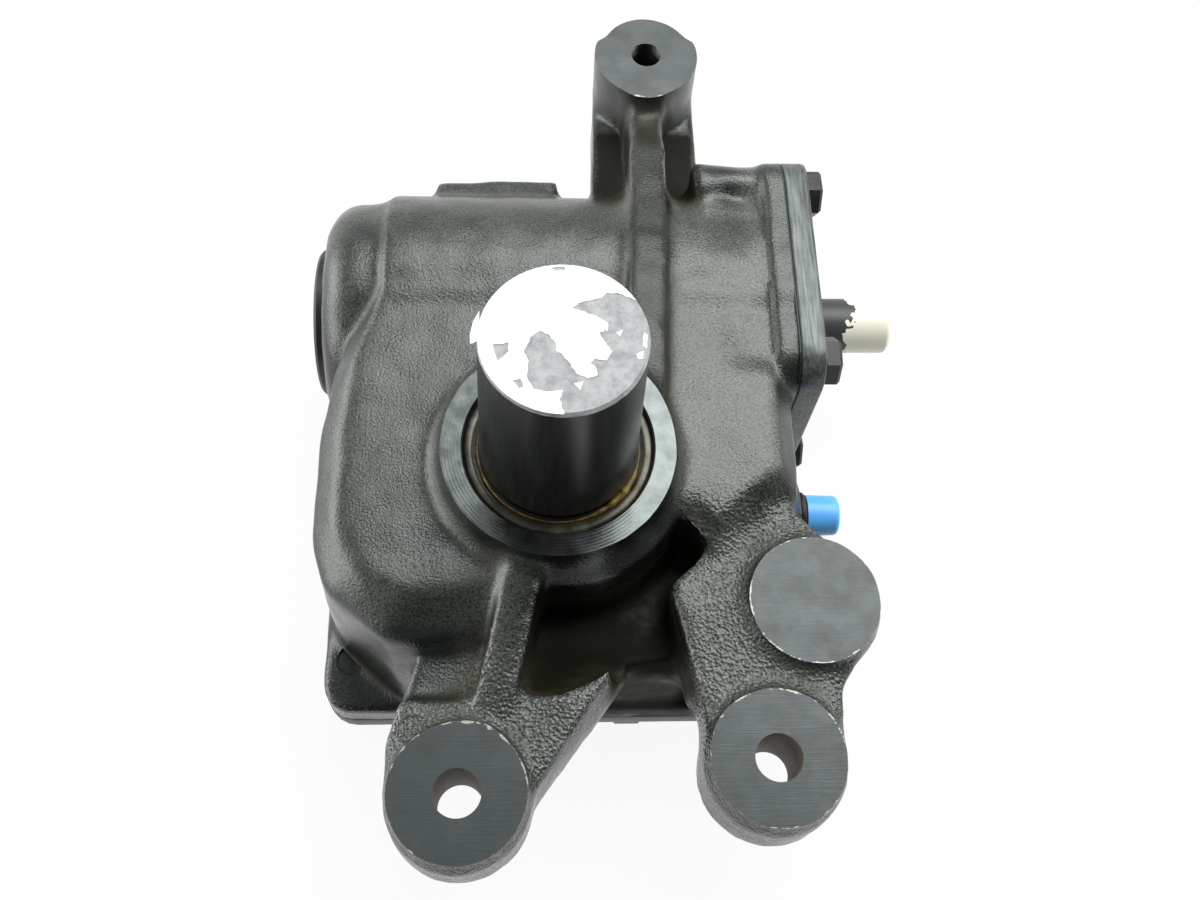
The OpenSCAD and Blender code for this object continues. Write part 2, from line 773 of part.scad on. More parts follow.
module adjuster_locknut() {
    top = rest_z + nut_pocket_h;
    h = nut_pocket_h - 2.5;
    color(dark_steel) difference() {
        translate([0, 0, top - h]) hex_head(adjuster_d * 1.6, h);
        disc(adjuster_d / 2, top - h - 1, top + 1);
    }
}

// Worm, ball nut and their balls

// Section of the worm across its axis: the helical track shows as a shallow hollow
function worm_section(steps) = [for (i = [0:steps - 1]) let (
        a = 360 * i / steps,
        along = lead * turn_to(0, a) / 360,
        track = abs(along) < track_r ? ball_pitch_r - sqrt(track_r * track_r - along * along) : worm_d)
    min(worm_d / 2, track) * [cos(a), sin(a)]];

module worm_shaft() {
    slices = ceil(track_l / lead * 14);
    neck_r = worm_journal_r + 2.4;
    color(steel) {
        on_worm_axis(-track_l / 2) rotate([0, 0, 90 - 180 * track_l / lead])
            linear_extrude(track_l, twist = -360 * track_l / lead, slices = slices, $fn = 28)
                polygon(worm_section(28));
        rod_x(neck_r, closed_x, -track_l / 2 + 0.5);
        rod_x(neck_r, track_l / 2 - 0.5, race_in_x);
        rod_x(worm_journal_r, closed_race_x + 0.5, closed_x + 1);
        rod_x(worm_journal_r, race_in_x - 1, race_out_x - 0.5);
        difference() {
            rod_x(input_d / 2, race_out_x - 1, input_end);
            translate([input_end - 24, worm_y + input_d / 2 - 1.4, worm_z - far / 2]) cube([far, far, far]);
        }
    }
}

// Space between two rack teeth, drawn in X and Y round its middle
module rack_space() {
    slope = tan(pressure_angle);
    pitch_half = (tooth_pitch + backlash) / 4;
    drop = tooth_module + 10;
    polygon([[-pitch_half - drop * slope, pitch_r - drop], [pitch_half + drop * slope, pitch_r - drop],
        [pitch_half - dedendum * slope, pitch_r + dedendum], [-pitch_half + dedendum * slope, pitch_r + dedendum]]);
}

module ball_nut() {
    last = (sector_teeth - 1) / 2;
    color(steel) difference() {
        intersection() {
            rod_x(nut_d / 2, -nut_l / 2, nut_l / 2);
            translate([-far / 2, pitch_r - tooth_module, worm_z - nut_half_z])
                cube([far, worm_y + nut_top - pitch_r + tooth_module, 2 * nut_half_z]);
        }
        for (k = [-last:last]) translate([k * tooth_pitch, 0, worm_z - far / 2]) linear_extrude(far) rack_space();
        rod_x(nut_bore_r, -nut_l / 2 - 1, nut_l / 2 + 1);
        for (s = [-1, 1]) {
            translate([s * guide_leg_x, worm_y, worm_z]) rotate([-90, 0, 0]) cylinder(r = guide_r + 0.1, h = far);
            translate([0, worm_y + nut_top - clamp_screw_l - 1, worm_z + s * clamp_half]) rotate([-90, 0, 0])
                cylinder(r = clamp_screw_r, h = far);
        }
    }
}

module recirculating_balls() {
    n = floor(ball_turns * 2 * PI * ball_pitch_r / (ball_d * 1.12));
    color("#c9ccd0") for (i = [0:n - 1]) {
        turn = (i / (n - 1) - 0.5) * (ball_turns * 360 - 70);
        translate([lead * turn / 360, worm_y + ball_pitch_r * cos(turn), worm_z + ball_pitch_r * sin(turn)])
            sphere(r = ball_r, $fn = 24);
    }
}

module guide_tube(r, grow) {
    level = worm_y + nut_top + guide_r;
    foot = worm_y + nut_bore_r + 1;
    rod_x(r, -guide_leg_x, guide_leg_x, level);
    for (s = [-1, 1]) {
        translate([s * guide_leg_x, foot - grow, worm_z]) rotate([-90, 0, 0]) cylinder(r = r, h = level - foot + grow);
        translate([s * guide_leg_x, level, worm_z]) sphere(r = r);
    }
}

module ball_return_guide() {
    color(machined) difference() {
        guide_tube(guide_r, 0);
        guide_tube(ball_r + 0.2, 2);
    }
}

module guide_clamp() {
    level = worm_y + nut_top + guide_r;
    base = worm_y + nut_top;
    width = 16;
    foot_z = clamp_half + 2 * clamp_screw_r;
    strap_t = 1.9;
    color(machined) difference() {
        union() {
            rod_x(guide_r + strap_t, -width / 2, width / 2, level);
            translate([-width / 2, base, worm_z - foot_z]) cube([width, clamp_t, 2 * foot_z]);
        }
        rod_x(guide_r + eps, -width, width, level);
        translate([-width, base - far, worm_z - far / 2]) cube([2 * width, far, far]);
        translate([-width, base - 1, worm_z - guide_r]) cube([2 * width, guide_r + 1, 2 * guide_r]);
        for (s = [-1, 1]) translate([0, base - 1, worm_z + s * clamp_half]) rotate([-90, 0, 0])
            cylinder(r = clamp_screw_r, h = 2 * guide_r);
    }
}

module guide_clamp_screws() {
    base = worm_y + nut_top;
    head_h = 3.6;
    color(dark_steel) for (s = [-1, 1]) translate([0, base, worm_z + s * clamp_half]) rotate([-90, 0, 0]) {
        translate([0, 0, -clamp_screw_l]) cylinder(r = clamp_screw_r, h = clamp_screw_l + clamp_t + 1);
        translate([0, 0, clamp_t]) hex_head(3 * clamp_screw_r, head_h);
    }
}

// Worm bearings

module race_track(x) {
    on_worm_axis(x + bearing_w / 2) rotate_extrude() translate([bearing_pitch_r, 0])
        circle(r = bearing_ball_r + race_gap);
}

module outer_race(x) {
    color(steel) difference() {
        rod_x(bearing_r, x, x + bearing_w);
        rod_x(bearing_pitch_r + ring_gap, x - 1, x + bearing_w + 1);
        race_track(x);
    }
}

module inner_race(x) {
    color(steel) difference() {
        rod_x(bearing_pitch_r - ring_gap, x, x + bearing_w);
        rod_x(worm_journal_r, x - 1, x + bearing_w + 1);
        race_track(x);
    }
}

// Children set out once for each ball of a bearing, with local X along the ball's radius
module each_ball(x) {
    on_worm_axis(x) for (i = [0:bearing_balls_n - 1]) rotate([0, 0, i * 360 / bearing_balls_n]) children();
}

// A thin ring with a round pocket for each ball, and the balls
module bearing_cage(x) {
    mid = x + bearing_w / 2;
    band = 0.7;
    half = bearing_ball_r + 1;
    color(bronze) {
        difference() {
            rod_x(bearing_pitch_r + band, mid - half, mid + half);
            rod_x(bearing_pitch_r - band, mid - half - 1, mid + half + 1);
            each_ball(mid) rotate([0, 90, 0]) cylinder(r = bearing_ball_r + 0.15, h = bearing_r);
        }
        each_ball(mid) translate([bearing_pitch_r, 0, 0]) sphere(r = bearing_ball_r);
    }
}

module input_seal() {
    r = input_seal_d / 2;
    top = input_seal_w - 0.6;
    lip = input_d / 2 + running_gap;
    color("#202020") on_worm_axis(cover_out_x - input_seal_w) rotate_extrude() polygon([
        [r, 0], [r, top], [lip + 1, top], [lip, top - 2], [lip + 1, top - 3.3], [lip + 4, 0]]);
}

// Shipping caps and the plugged port

module sector_shaft_cap() {
    top = shaft_top + sector_cap_t;
    edge = 1;
    inner = serration_d / 2 + cap_gap;
    outer = journal_r + cap_gap;
    ceiling = shaft_top + end_gap;
    step_z = serrated_low + 3 * cap_gap;
    color("#23252a") rotate_extrude() polygon([[0, ceiling], [inner, ceiling], [inner, step_z],
        [outer, step_z], [outer, sector_cap_foot], [sector_cap_foot_d / 2, sector_cap_foot],
        [sector_cap_d / 2, top - edge], [sector_cap_d / 2 - edge, top], [0, top]]);
}

module input_shaft_cap() {
    r = input_cap_d / 2;
    end = input_end + input_cap_t;
    start = cover_out_x + 2;
    edge = 2.2;
    l = end - start;
    arc = [for (a = [0:22.5:90]) [r - edge + edge * cos(a), l - edge + edge * sin(a)]];
    inner = input_d / 2 + cap_gap;
    floor_x = l - input_cap_t + end_gap;
    color("#e6e4d2") on_worm_axis(start) rotate_extrude() polygon(concat([[inner, 0], [r, 0]], arc,
        [[0, l], [0, floor_x], [inner, floor_x]]));
}

module port_fitting() {
    color("#1c1c1c") difference() {
        union() {
            rod_x(port_r, port_face_x - fitting_thread_l, port_face_x + eps, port_y, port_z);
            rod_x(port_plug_d / 2 - 0.6, port_face_x, port_face_x + fitting_l, port_y, port_z);
        }
        rod_x(fitting_hole_r, port_face_x - fitting_thread_l - 1, port_face_x + fitting_l + 1, port_y, port_z);
        translate([port_face_x + fitting_l / 2, port_y, port_z]) rotate([0, 90, 0]) rotate_extrude()
            translate([port_plug_d / 2, 0]) circle(r = oring_r);
    }
}

module port_o_ring() {
    color("#0e0e0e") translate([port_face_x + fitting_l / 2, port_y, port_z]) rotate([0, 90, 0])
        rotate_extrude() translate([port_plug_d / 2, 0]) circle(r = oring_r);
}

module port_plug() {
    start = port_face_x + fitting_l + end_gap;
    r = port_plug_d / 2;
    edge = 1.8;
    rim = 0.4;
    stem_l = fitting_thread_l - 1;
    arc = [for (a = [0:22.5:90]) [r - edge + edge * cos(a), port_plug_l - edge + edge * sin(a)]];
    stem = fitting_hole_r - plug_gap;
    color("#3f97ee") translate([start, port_y, port_z]) rotate([0, 90, 0]) rotate_extrude()
        polygon(concat([[0, -stem_l], [stem, -stem_l], [stem, 0], [r + rim, 0]], arc, [[0, port_plug_l]]));
}

housing();
side_cover();
side_cover_gasket();
side_cover_bolts();
end_cover();
end_cover_shims();
end_cover_bolts();
end_plug();
sector_shaft();
front_bushing();
rear_bushing();
thrust_washer();
sector_seal();
sector_seal_lip();
adjusting_screw();
adjuster_locknut();
worm_shaft();
ball_nut();
recirculating_balls();
ball_return_guide();
guide_clamp();
guide_clamp_screws();
outer_race(race_in_x);  // input_bearing_outer_race
inner_race(race_in_x);  // input_bearing_inner_race
bearing_cage(race_in_x);  // input_bearing_cage
outer_race(closed_race_x);  // closed_bearing_outer_race
inner_race(closed_race_x);  // closed_bearing_inner_race
bearing_cage(closed_race_x);  // closed_bearing_cage
input_seal();
sector_shaft_cap();
input_shaft_cap();
port_fitting();
port_o_ring();
port_plug();
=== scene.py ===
# %% [markdown]
# # A steering gearbox, dressed for a product photograph
# The gearbox is one black painted iron casting that lies on its rear cover.
# Its sector shaft stands up under a cap, and the input shaft leaves to the right.
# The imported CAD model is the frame. Most nodes keep their shape and get a finish,
# and the casting is rebuilt so that its corners flow into each other as cast iron does.

# %% Load the frame
import math
import random

import bmesh
import bpy
import numpy as np
from mathutils import Matrix, Vector, geometry, kdtree, noise


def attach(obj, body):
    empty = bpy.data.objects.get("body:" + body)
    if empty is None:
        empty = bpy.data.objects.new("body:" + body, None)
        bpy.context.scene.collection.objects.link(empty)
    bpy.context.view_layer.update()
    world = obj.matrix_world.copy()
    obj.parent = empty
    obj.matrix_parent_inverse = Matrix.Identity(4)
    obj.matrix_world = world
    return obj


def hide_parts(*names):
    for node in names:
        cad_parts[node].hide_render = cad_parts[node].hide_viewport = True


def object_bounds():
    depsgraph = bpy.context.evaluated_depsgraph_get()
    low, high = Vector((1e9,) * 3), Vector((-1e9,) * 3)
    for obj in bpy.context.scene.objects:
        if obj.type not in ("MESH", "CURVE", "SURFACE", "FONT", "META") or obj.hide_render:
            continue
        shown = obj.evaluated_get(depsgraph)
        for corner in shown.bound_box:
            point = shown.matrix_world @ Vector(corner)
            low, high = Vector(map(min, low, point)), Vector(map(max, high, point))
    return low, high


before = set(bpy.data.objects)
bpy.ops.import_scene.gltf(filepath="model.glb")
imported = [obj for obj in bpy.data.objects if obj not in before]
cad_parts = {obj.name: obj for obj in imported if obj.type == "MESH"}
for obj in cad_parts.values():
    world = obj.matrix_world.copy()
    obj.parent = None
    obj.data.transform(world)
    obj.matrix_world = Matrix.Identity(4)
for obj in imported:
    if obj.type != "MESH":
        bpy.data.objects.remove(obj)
cad_low, cad_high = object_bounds()
MM = 0.001
print("CAD box in mm:", [round(v / MM, 1) for v in (*cad_low, *cad_high)])

# %% [markdown]
# ## Camera
# The camera was worked out from the circles and straight edges of the real object.
# It looks down on the boss from the lower arms' side, through a lens of about 38 mm.
# A camera's matrix holds its right, up and backward directions as columns.

# %% Camera
right = Vector((0.9985, -0.0234, 0.0504))
up = Vector((-0.0005, 0.9033, 0.4289))
back = -Vector((0.0556, 0.4283, -0.9019))
stand = Vector((-11.3, -211.4, 440.3)) * MM
camera_data = bpy.data.cameras.new("product_camera")
camera_data.sensor_fit = "HORIZONTAL"
camera_data.sensor_width = 36
camera_data.lens = 38.27
camera_data.clip_start = 0.01
camera = bpy.data.objects.new("product_camera", camera_data)
camera.matrix_world = Matrix.Translation(stand) @ Matrix((right, up, back)).transposed().to_4x4()
bpy.context.scene.collection.objects.link(camera)
bpy.context.scene.camera = camera
print("camera at", [round(v, 4) for v in camera.location])

# %% [markdown]
# ## Colours and nodes
# Colours are picked as sRGB hex values, as on a paint card, and Blender wants them linear.
# One small function adds a shader node, sets it up and links it, so a material reads as a list.

# %% Colour and node helpers
COLOURS = {"data_type": "RGBA"}
TIMES = {"operation": "MULTIPLY"}
TIMES_PLUS = {"operation": "MULTIPLY_ADD"}
CLAMPED = {"use_clamp": True}


def linear(code):
    """An sRGB hex colour as linear red, green, blue and alpha."""
    parts = [int(code[i : i + 2], 16) / 255 for i in (1, 3, 5)]
    return (*[v / 12.92 if v <= 0.04045 else ((v + 0.055) / 1.055) ** 2.4 for v in parts], 1.0)


def add(tree, kind, settings=None, inputs=None, stops=()):
    """A new node with its settings, its inputs linked or set, and a colour ramp's stops."""
    made = tree.nodes.new("ShaderNode" + kind)
    for name, value in (settings or {}).items():
        setattr(made, name, value)
    for name, value in (inputs or {}).items():
        if isinstance(value, bpy.types.NodeSocket):
            tree.links.new(value, made.inputs[name])
        else:
            made.inputs[name].default_value = value
    for element, (position, code) in zip(made.color_ramp.elements if stops else (), stops):
        element.position, element.color = position, linear(code)
    return made


def finish_named(name, **sockets):
    """A new material, its node tree and its shader, with plain values set on the shader."""
    material = bpy.data.materials.new(name)
    material.use_nodes = True
    shader = material.node_tree.nodes["Principled BSDF"]
    for socket, value in sockets.items():
        shader.inputs[socket.replace("_", " ")].default_value = value
    return material, material.node_tree, shader


def wire(tree, shader, **sockets):
    """Links node outputs to the shader's inputs of the given names."""
    for name, socket in sockets.items():
        tree.links.new(socket, shader.inputs[name.replace("_", " ")])


# %% [markdown]
# ## Floor and light
# The object lies on a white sweep. One large softbox high behind it, a little to the right,
# gives the sheen on every face that looks up, and the side that faces the camera stays dark.
# More light could turn the floor white, but it would bleach the caps too. So the floor glows
# for the camera and for mirrored rays only, and the lamps stay at a plain level.

# %% Floor
FLOOR_GAP, FLOOR_GLOW = 0.2, 0.92
floor_mesh = bpy.data.meshes.new("floor")
bm = bmesh.new()
bmesh.ops.create_grid(bm, x_segments=1, y_segments=1, size=4)
bmesh.ops.translate(bm, verts=bm.verts, vec=(0, 0, cad_low.z - FLOOR_GAP * MM))
bm.to_mesh(floor_mesh)
bm.free()
floor = bpy.data.objects.new("floor", floor_mesh)
bpy.context.scene.collection.objects.link(floor)

sweep = bpy.data.materials.new("white_paper_sweep")
sweep.use_nodes = True
tree = sweep.node_tree
tree.nodes.clear()
seen = add(tree, "LightPath").outputs
larger = {"operation": "MAXIMUM"}
direct = add(tree, "Math", larger, {0: seen["Is Camera Ray"], 1: seen["Is Glossy Ray"]})
direct = add(tree, "Math", larger, {0: direct.outputs[0], 1: seen["Is Transmission Ray"]})
share = add(tree, "Math", TIMES, {0: direct.outputs[0], 1: FLOOR_GLOW})
paper = add(tree, "BsdfDiffuse", None, {"Color": linear("#f2f2f0")})
glow = add(tree, "Emission", None, {"Color": (1, 1, 1, 1), "Strength": 1.0})
both = add(tree, "MixShader", None, {0: share.outputs[0], 1: paper.outputs[0], 2: glow.outputs[0]})
add(tree, "OutputMaterial", None, {"Surface": both.outputs[0]})
floor.data.materials.append(sweep)
print("floor at", round(floor_mesh.vertices[0].co.z / MM, 1), "mm")

# %% Lamps
AIM = Vector((0, 0, -0.05))


def softbox(name, at, size, watts):
    """A rectangular lamp that looks at the middle of the object."""
    lamp = bpy.data.lights.new(name, "AREA")
    lamp.shape = "RECTANGLE"
    lamp.size, lamp.size_y = size
    lamp.energy = watts
    box = bpy.data.objects.new(name, lamp)
    box.location = at
    box.rotation_euler = (AIM - Vector(at)).to_track_quat("-Z", "Y").to_euler()
    bpy.context.scene.collection.objects.link(box)


softbox("softbox_back", (0.36, 0.6, 1.15), (1.3, 0.8), 19.5)
softbox("softbox_left", (-1.0, 0.15, 0.25), (1.2, 0.7), 11.5)
softbox("softbox_right", (1.1, 0.3, 0.6), (0.6, 0.9), 7)
softbox("softbox_low", (-0.2, -0.95, 0.3), (1.2, 0.4), 0.3)

# %% White room, brighter behind the object and to its left
world = bpy.data.worlds.new("white_room")
bpy.context.scene.world = world
world.use_nodes = True
tree = world.node_tree
tree.nodes.clear()
seen = add(tree, "LightPath").outputs
around = add(tree, "TexCoord").outputs["Generated"]
way = add(tree, "VectorMath", {"operation": "DOT_PRODUCT"}, {0: around, 1: (-0.5, 0.8, 0)})
level = add(tree, "MapRange", None, {0: way.outputs["Value"], 1: -0.4, 2: 0.9, 3: 0.05, 4: 0.9})
room = add(tree, "Background", None, {"Color": linear("#e9ecec"), "Strength": level.outputs[0]})
white = add(tree, "Background", None, {"Color": (1, 1, 1, 1), "Strength": 1.0})
both = add(tree, "MixShader", None, {0: seen["Is Camera Ray"], 1: room.outputs[0], 2: white.outputs[0]})
add(tree, "OutputWorld", None, {"Surface": both.outputs[0]})
bpy.context.scene.view_settings.view_transform = "Standard"
print("world has", len(tree.nodes), "nodes")

# %% [markdown]
# ## Casting finish
# Sand leaves grey iron pebbled, and the paint over it is a satin black enamel.
# The grain is about 0.9 mm on the front and swells to 1.4 mm pebbles on the arms.
# A picture could be wrapped round such a shape, but it would stretch and show seams, so noise
# in the object's own space makes the paint. The skin carries four values that it reads: olive dust
# in the hollows, with painted shade that turns it near black where a hollow is deep, in the valley
# and in the channels beside the top rib; a pale dust film with dark specks on faces that look up,
# which is also painted sheen, laid thicker to the right and onto the barrel's top; pebble height,
# whose tops are lightened as wear and as painted glints; and edges rubbed to the metal.

# %% Enamel under a pale dust film that is also painted sheen
GRAIN, PEBBLE, SPECK, CLOUD = 0.9, 1.4, 0.8, 28.0
casting, tree, shader = finish_named(
    "black_enamel_on_sand_casting", IOR=1.6, Specular_Tint=linear("#f6fcf8")
)
place = add(tree, "TexCoord").outputs["Object"]
dust_and_shade, film_and_sheen, lumpy, bare = (
    add(tree, "Attribute", {"attribute_name": name}).outputs["Fac"]
    for name in ("dust_and_shade", "film_and_sheen", "lumpy", "edge")
)
grain, clouds, specks = (
    add(tree, "TexNoise", None, {
        "Vector": place, "Scale": 1 / (size * MM), "Detail": detail, "Roughness": rough,
    }).outputs["Fac"]
    for size, detail, rough in ((GRAIN, 2.0, 0.55), (CLOUD, 4.0, 0.6), (SPECK, 3.0, 0.7))
)
pebble = add(tree, "TexVoronoi", {"feature": "SMOOTH_F1"}, {
    "Vector": place, "Scale": 1 / (PEBBLE * MM), "Smoothness": 0.3,
}).outputs["Distance"]
enamel = add(tree, "ValToRGB", None, {"Fac": clouds}, ((0.35, "#121513"), (0.68, "#202522")))
# The pale film is partly dust and partly painted sheen on faces that look up.
powder_and_sheen = add(tree, "ValToRGB", None, {"Fac": specks}, ((0.4, "#20221e"), (0.56, "#92968b")))
patchy = add(tree, "MapRange", None, {0: clouds, 1: 0.3, 2: 0.65, 3: 0.35, 4: 1.0})
film_and_sheen_here = add(tree, "Math", TIMES, {0: film_and_sheen, 1: patchy.outputs[0]}).outputs[0]
powdered_with_sheen = add(tree, "Mix", COLOURS, {
    0: film_and_sheen_here, 6: enamel.outputs["Color"], 7: powder_and_sheen.outputs["Color"],
})

# %% Dust and painted shade in hollows, rubbed edges, and pebble tops lightened as wear and painted glints
uneven = add(tree, "Math", TIMES_PLUS, {0: clouds, 1: 1.6, 2: -0.2})
dust_and_shade_here = add(tree, "Math", TIMES | CLAMPED, {0: dust_and_shade, 1: uneven.outputs[0]}).outputs[0]
# Painted shade: the colour goes from olive dust to near black where the value is high, in deep hollows, the
# valley and the rib's channels.
olive_dust_and_shade = add(tree, "ValToRGB", None, {"Fac": dust_and_shade_here}, ((0.4, "#38341a"), (0.9, "#191912")))
dusted_and_shaded = add(tree, "Mix", COLOURS, {0: dust_and_shade_here, 6: powdered_with_sheen.outputs[2], 7: olive_dust_and_shade.outputs["Color"]})
rub = add(tree, "Math", TIMES_PLUS | CLAMPED, {0: specks, 1: 5.0, 2: -2.4})
rubbed = add(tree, "Math", TIMES | CLAMPED, {0: rub.outputs[0], 1: bare})
worn = add(tree, "Mix", COLOURS, {0: rubbed.outputs[0], 6: dusted_and_shaded.outputs[2], 7: linear("#9b9d99")})
pebbles = add(tree, "Math", TIMES, {0: pebble, 1: lumpy}).outputs[0]
# Pebble tops are lightened, partly as wear and partly as painted glints.
pebble_wear_and_glint = add(tree, "MapRange", None, {0: pebbles, 1: 0.12, 2: 0.24, 3: 0.0, 4: 0.17})
wear_and_glint_topped = add(tree, "Mix", COLOURS, {0: pebble_wear_and_glint.outputs[0], 6: worn.outputs[2], 7: linear("#74776f")})

# %% Gloss and relief of the paint
satin = add(tree, "MapRange", None, {0: clouds, 1: 0.3, 2: 0.7, 3: 0.17, 4: 0.26})
duller = add(tree, "Math", TIMES_PLUS, {0: film_and_sheen_here, 1: 0.14, 2: satin.outputs[0]})
gloss = add(tree, "Math", TIMES_PLUS | CLAMPED, {0: dust_and_shade_here, 1: 0.35, 2: duller.outputs[0]})
mirror = add(tree, "MapRange", None, {0: dust_and_shade_here, 1: 0.0, 2: 0.8, 3: 0.5, 4: 0.08})
height = add(tree, "Math", TIMES_PLUS, {0: grain, 1: 0.25, 2: pebbles})
relief = add(tree, "Bump", None, {"Strength": 1.0, "Distance": 1.0 * MM, "Height": height.outputs[0]})
wire(tree, shader, Base_Color=wear_and_glint_topped.outputs[2], Roughness=gloss.outputs[0],
     Specular_IOR_Level=mirror.outputs[0], Normal=relief.outputs[0])
print("casting finish has", len(tree.nodes), "nodes")

# %% [markdown]
# ## Faced and turned iron
# The ears and the pad were milled flat and painted thinly afterwards. Fine strokes show on them,
# and their rims are chipped to bright metal. The boss ring was turned and left almost bare, with a
# painted reflection that makes its right lighter. Strokes are noise stretched along one direction,
# and tool marks are rings. These are drawn 1.3 mm apart, coarser than real ones, because finer ones don't
# show.

# %% Where the machined faces lie, in millimetres
MOUNT_Z, END_X, PORT_X, FLANGE_Z = -19.0, 100.4, 100.0, -108.5
WORM = (95.0, -69.0)
PORT = (-9.0, -50.0)
EARS = {"left": (-36.7, -127.0), "right": (79.0, -116.0)}
PAD = (98.0, -56.0)
TOP = (43.5, 212.0)
FACES = (*EARS.values(), PAD, TOP)
FACE_R, RIM_W = 25.0, 2.2
print(len(FACES), "milled faces of", 2 * FACE_R, "mm")

# %% Milled faces
milled, tree, shader = finish_named("milled_iron_thin_black", IOR=1.5, Metallic=0.25)
place = add(tree, "TexCoord").outputs["Object"]
swept = add(tree, "Mapping", None, {
    "Vector": place, "Rotation": (0, 0, math.radians(20)), "Scale": (70, 1500, 70),
})
strokes = add(tree, "TexNoise", None, {"Vector": swept.outputs[0], "Scale": 1.0, "Detail": 3.0})
smudge, chips = (
    add(tree, "TexNoise", None, {
        "Vector": place, "Scale": 1 / (size * MM), "Detail": 5.0, "Roughness": rough,
    }).outputs["Fac"]
    for size, rough in ((12, 0.65), (5, 0.7))
)
tone = add(tree, "ValToRGB", None, {"Fac": smudge}, ((0.35, "#363c3b"), (0.7, "#444b4a")))
flat = add(tree, "VectorMath", {"operation": "MULTIPLY"}, {0: place, 1: (1, 1, 0)}).outputs[0]
from_middle = None
for spot in FACES:
    away = add(tree, "VectorMath", {"operation": "DISTANCE"}, {0: flat, 1: Vector((*spot, 0)) * MM})
    if from_middle is None:
        from_middle = away.outputs["Value"]
    else:
        nearer = add(tree, "Math", {"operation": "MINIMUM"}, {0: from_middle, 1: away.outputs["Value"]})
        from_middle = nearer.outputs[0]
rim = add(tree, "MapRange", None, {
    0: from_middle, 1: (FACE_R - RIM_W) * MM, 2: FACE_R * MM, 3: 0.0, 4: 0.54,
})
chipped = add(tree, "Math", {"operation": "ADD"}, {0: rim.outputs[0], 1: chips})
metal_here = add(tree, "MapRange", None, {0: chipped.outputs[0], 1: 1.05, 2: 1.1, 3: 0.0, 4: 1.0})
shown = add(tree, "Mix", COLOURS, {
    0: metal_here.outputs[0], 6: tone.outputs["Color"], 7: linear("#a6a8a1"),
})
sheen = add(tree, "MapRange", None, {0: smudge, 1: 0.3, 2: 0.7, 3: 0.38, 4: 0.28})
relief = add(tree, "Bump", None, {
    "Strength": 0.28, "Distance": 0.14 * MM, "Height": strokes.outputs["Fac"],
})
wire(tree, shader, Base_Color=shown.outputs[2], Roughness=sheen.outputs[0], Normal=relief.outputs[0])
print("milled finish has", len(tree.nodes), "nodes")

# %% Turned boss ring
turned, tree, shader = finish_named("turned_iron_ring", Metallic=0.85)
place = add(tree, "TexCoord").outputs["Object"]
rings = add(tree, "TexWave", {"wave_type": "RINGS", "rings_direction": "Z"}, {
    "Vector": place, "Scale": 1 / (4 * MM), "Distortion": 0.5, "Detail": 2.0,
})
smudge = add(tree, "TexNoise", None, {
    "Vector": place, "Scale": 1 / (9 * MM), "Detail": 5.0, "Roughness": 0.6,
}).outputs["Fac"]
axes = add(tree, "SeparateXYZ", None, {0: place})
# Painted reflection: the ring is lighter towards its right and darker towards its left.
painted_light_right = add(tree, "MapRange", None, {0: axes.outputs["X"], 1: -45 * MM, 2: 45 * MM, 3: -0.2, 4: 0.2})
smudge_and_painted_light = add(tree, "Math", {"operation": "ADD"}, {0: smudge, 1: painted_light_right.outputs[0]})
tone = add(tree, "ValToRGB", None, {"Fac": smudge_and_painted_light.outputs[0]}, ((0.25, "#2f3332"), (0.75, "#5f6563")))
sheen = add(tree, "MapRange", None, {0: smudge, 1: 0.3, 2: 0.7, 3: 0.18, 4: 0.25})
relief = add(tree, "Bump", None, {
    "Strength": 0.25, "Distance": 0.06 * MM, "Height": rings.outputs["Fac"],
})
wire(tree, shader, Base_Color=tone.outputs["Color"], Roughness=sheen.outputs[0], Normal=relief.outputs[0])
print("ring finish has", len(tree.nodes), "nodes")

# %% [markdown]
# ## Plain finishes for the other pieces
# The inner pieces are ground steel, bronze and rubber, and most keep their CAD shape.
# Each finish has a clouded colour between two tones, a clouded gloss and a fine grit,
# because no real surface is one even colour. Patch and grit are sizes in millimetres.

# %% Simple finishes


def plain(name, dark, light, rough, metallic=0.0, patch=8.0, grit=0.4, depth=0.05):
    """A material with a clouded colour between dark and light, and a fine grit."""
    material, tree, shader = finish_named(name, Metallic=metallic, IOR=1.5)
    place = add(tree, "TexCoord").outputs["Object"]
    cloud = add(tree, "TexNoise", None, {
        "Vector": place, "Scale": 1 / (patch * MM), "Detail": 4.0, "Roughness": 0.6,
    }).outputs["Fac"]
    fine = add(tree, "TexNoise", None, {"Vector": place, "Scale": 1 / (grit * MM), "Detail": 2.0})
    tone = add(tree, "ValToRGB", None, {"Fac": cloud}, ((0.35, dark), (0.7, light)))
    sheen = add(tree, "MapRange", None, {0: cloud, 1: 0.3, 2: 0.7, 3: rough - 0.05, 4: rough + 0.07})
    relief = add(tree, "Bump", None, {
        "Strength": 0.5, "Distance": depth * MM, "Height": fine.outputs["Fac"],
    })
    wire(tree, shader, Base_Color=tone.outputs["Color"], Roughness=sheen.outputs[0],
         Normal=relief.outputs[0])
    return material


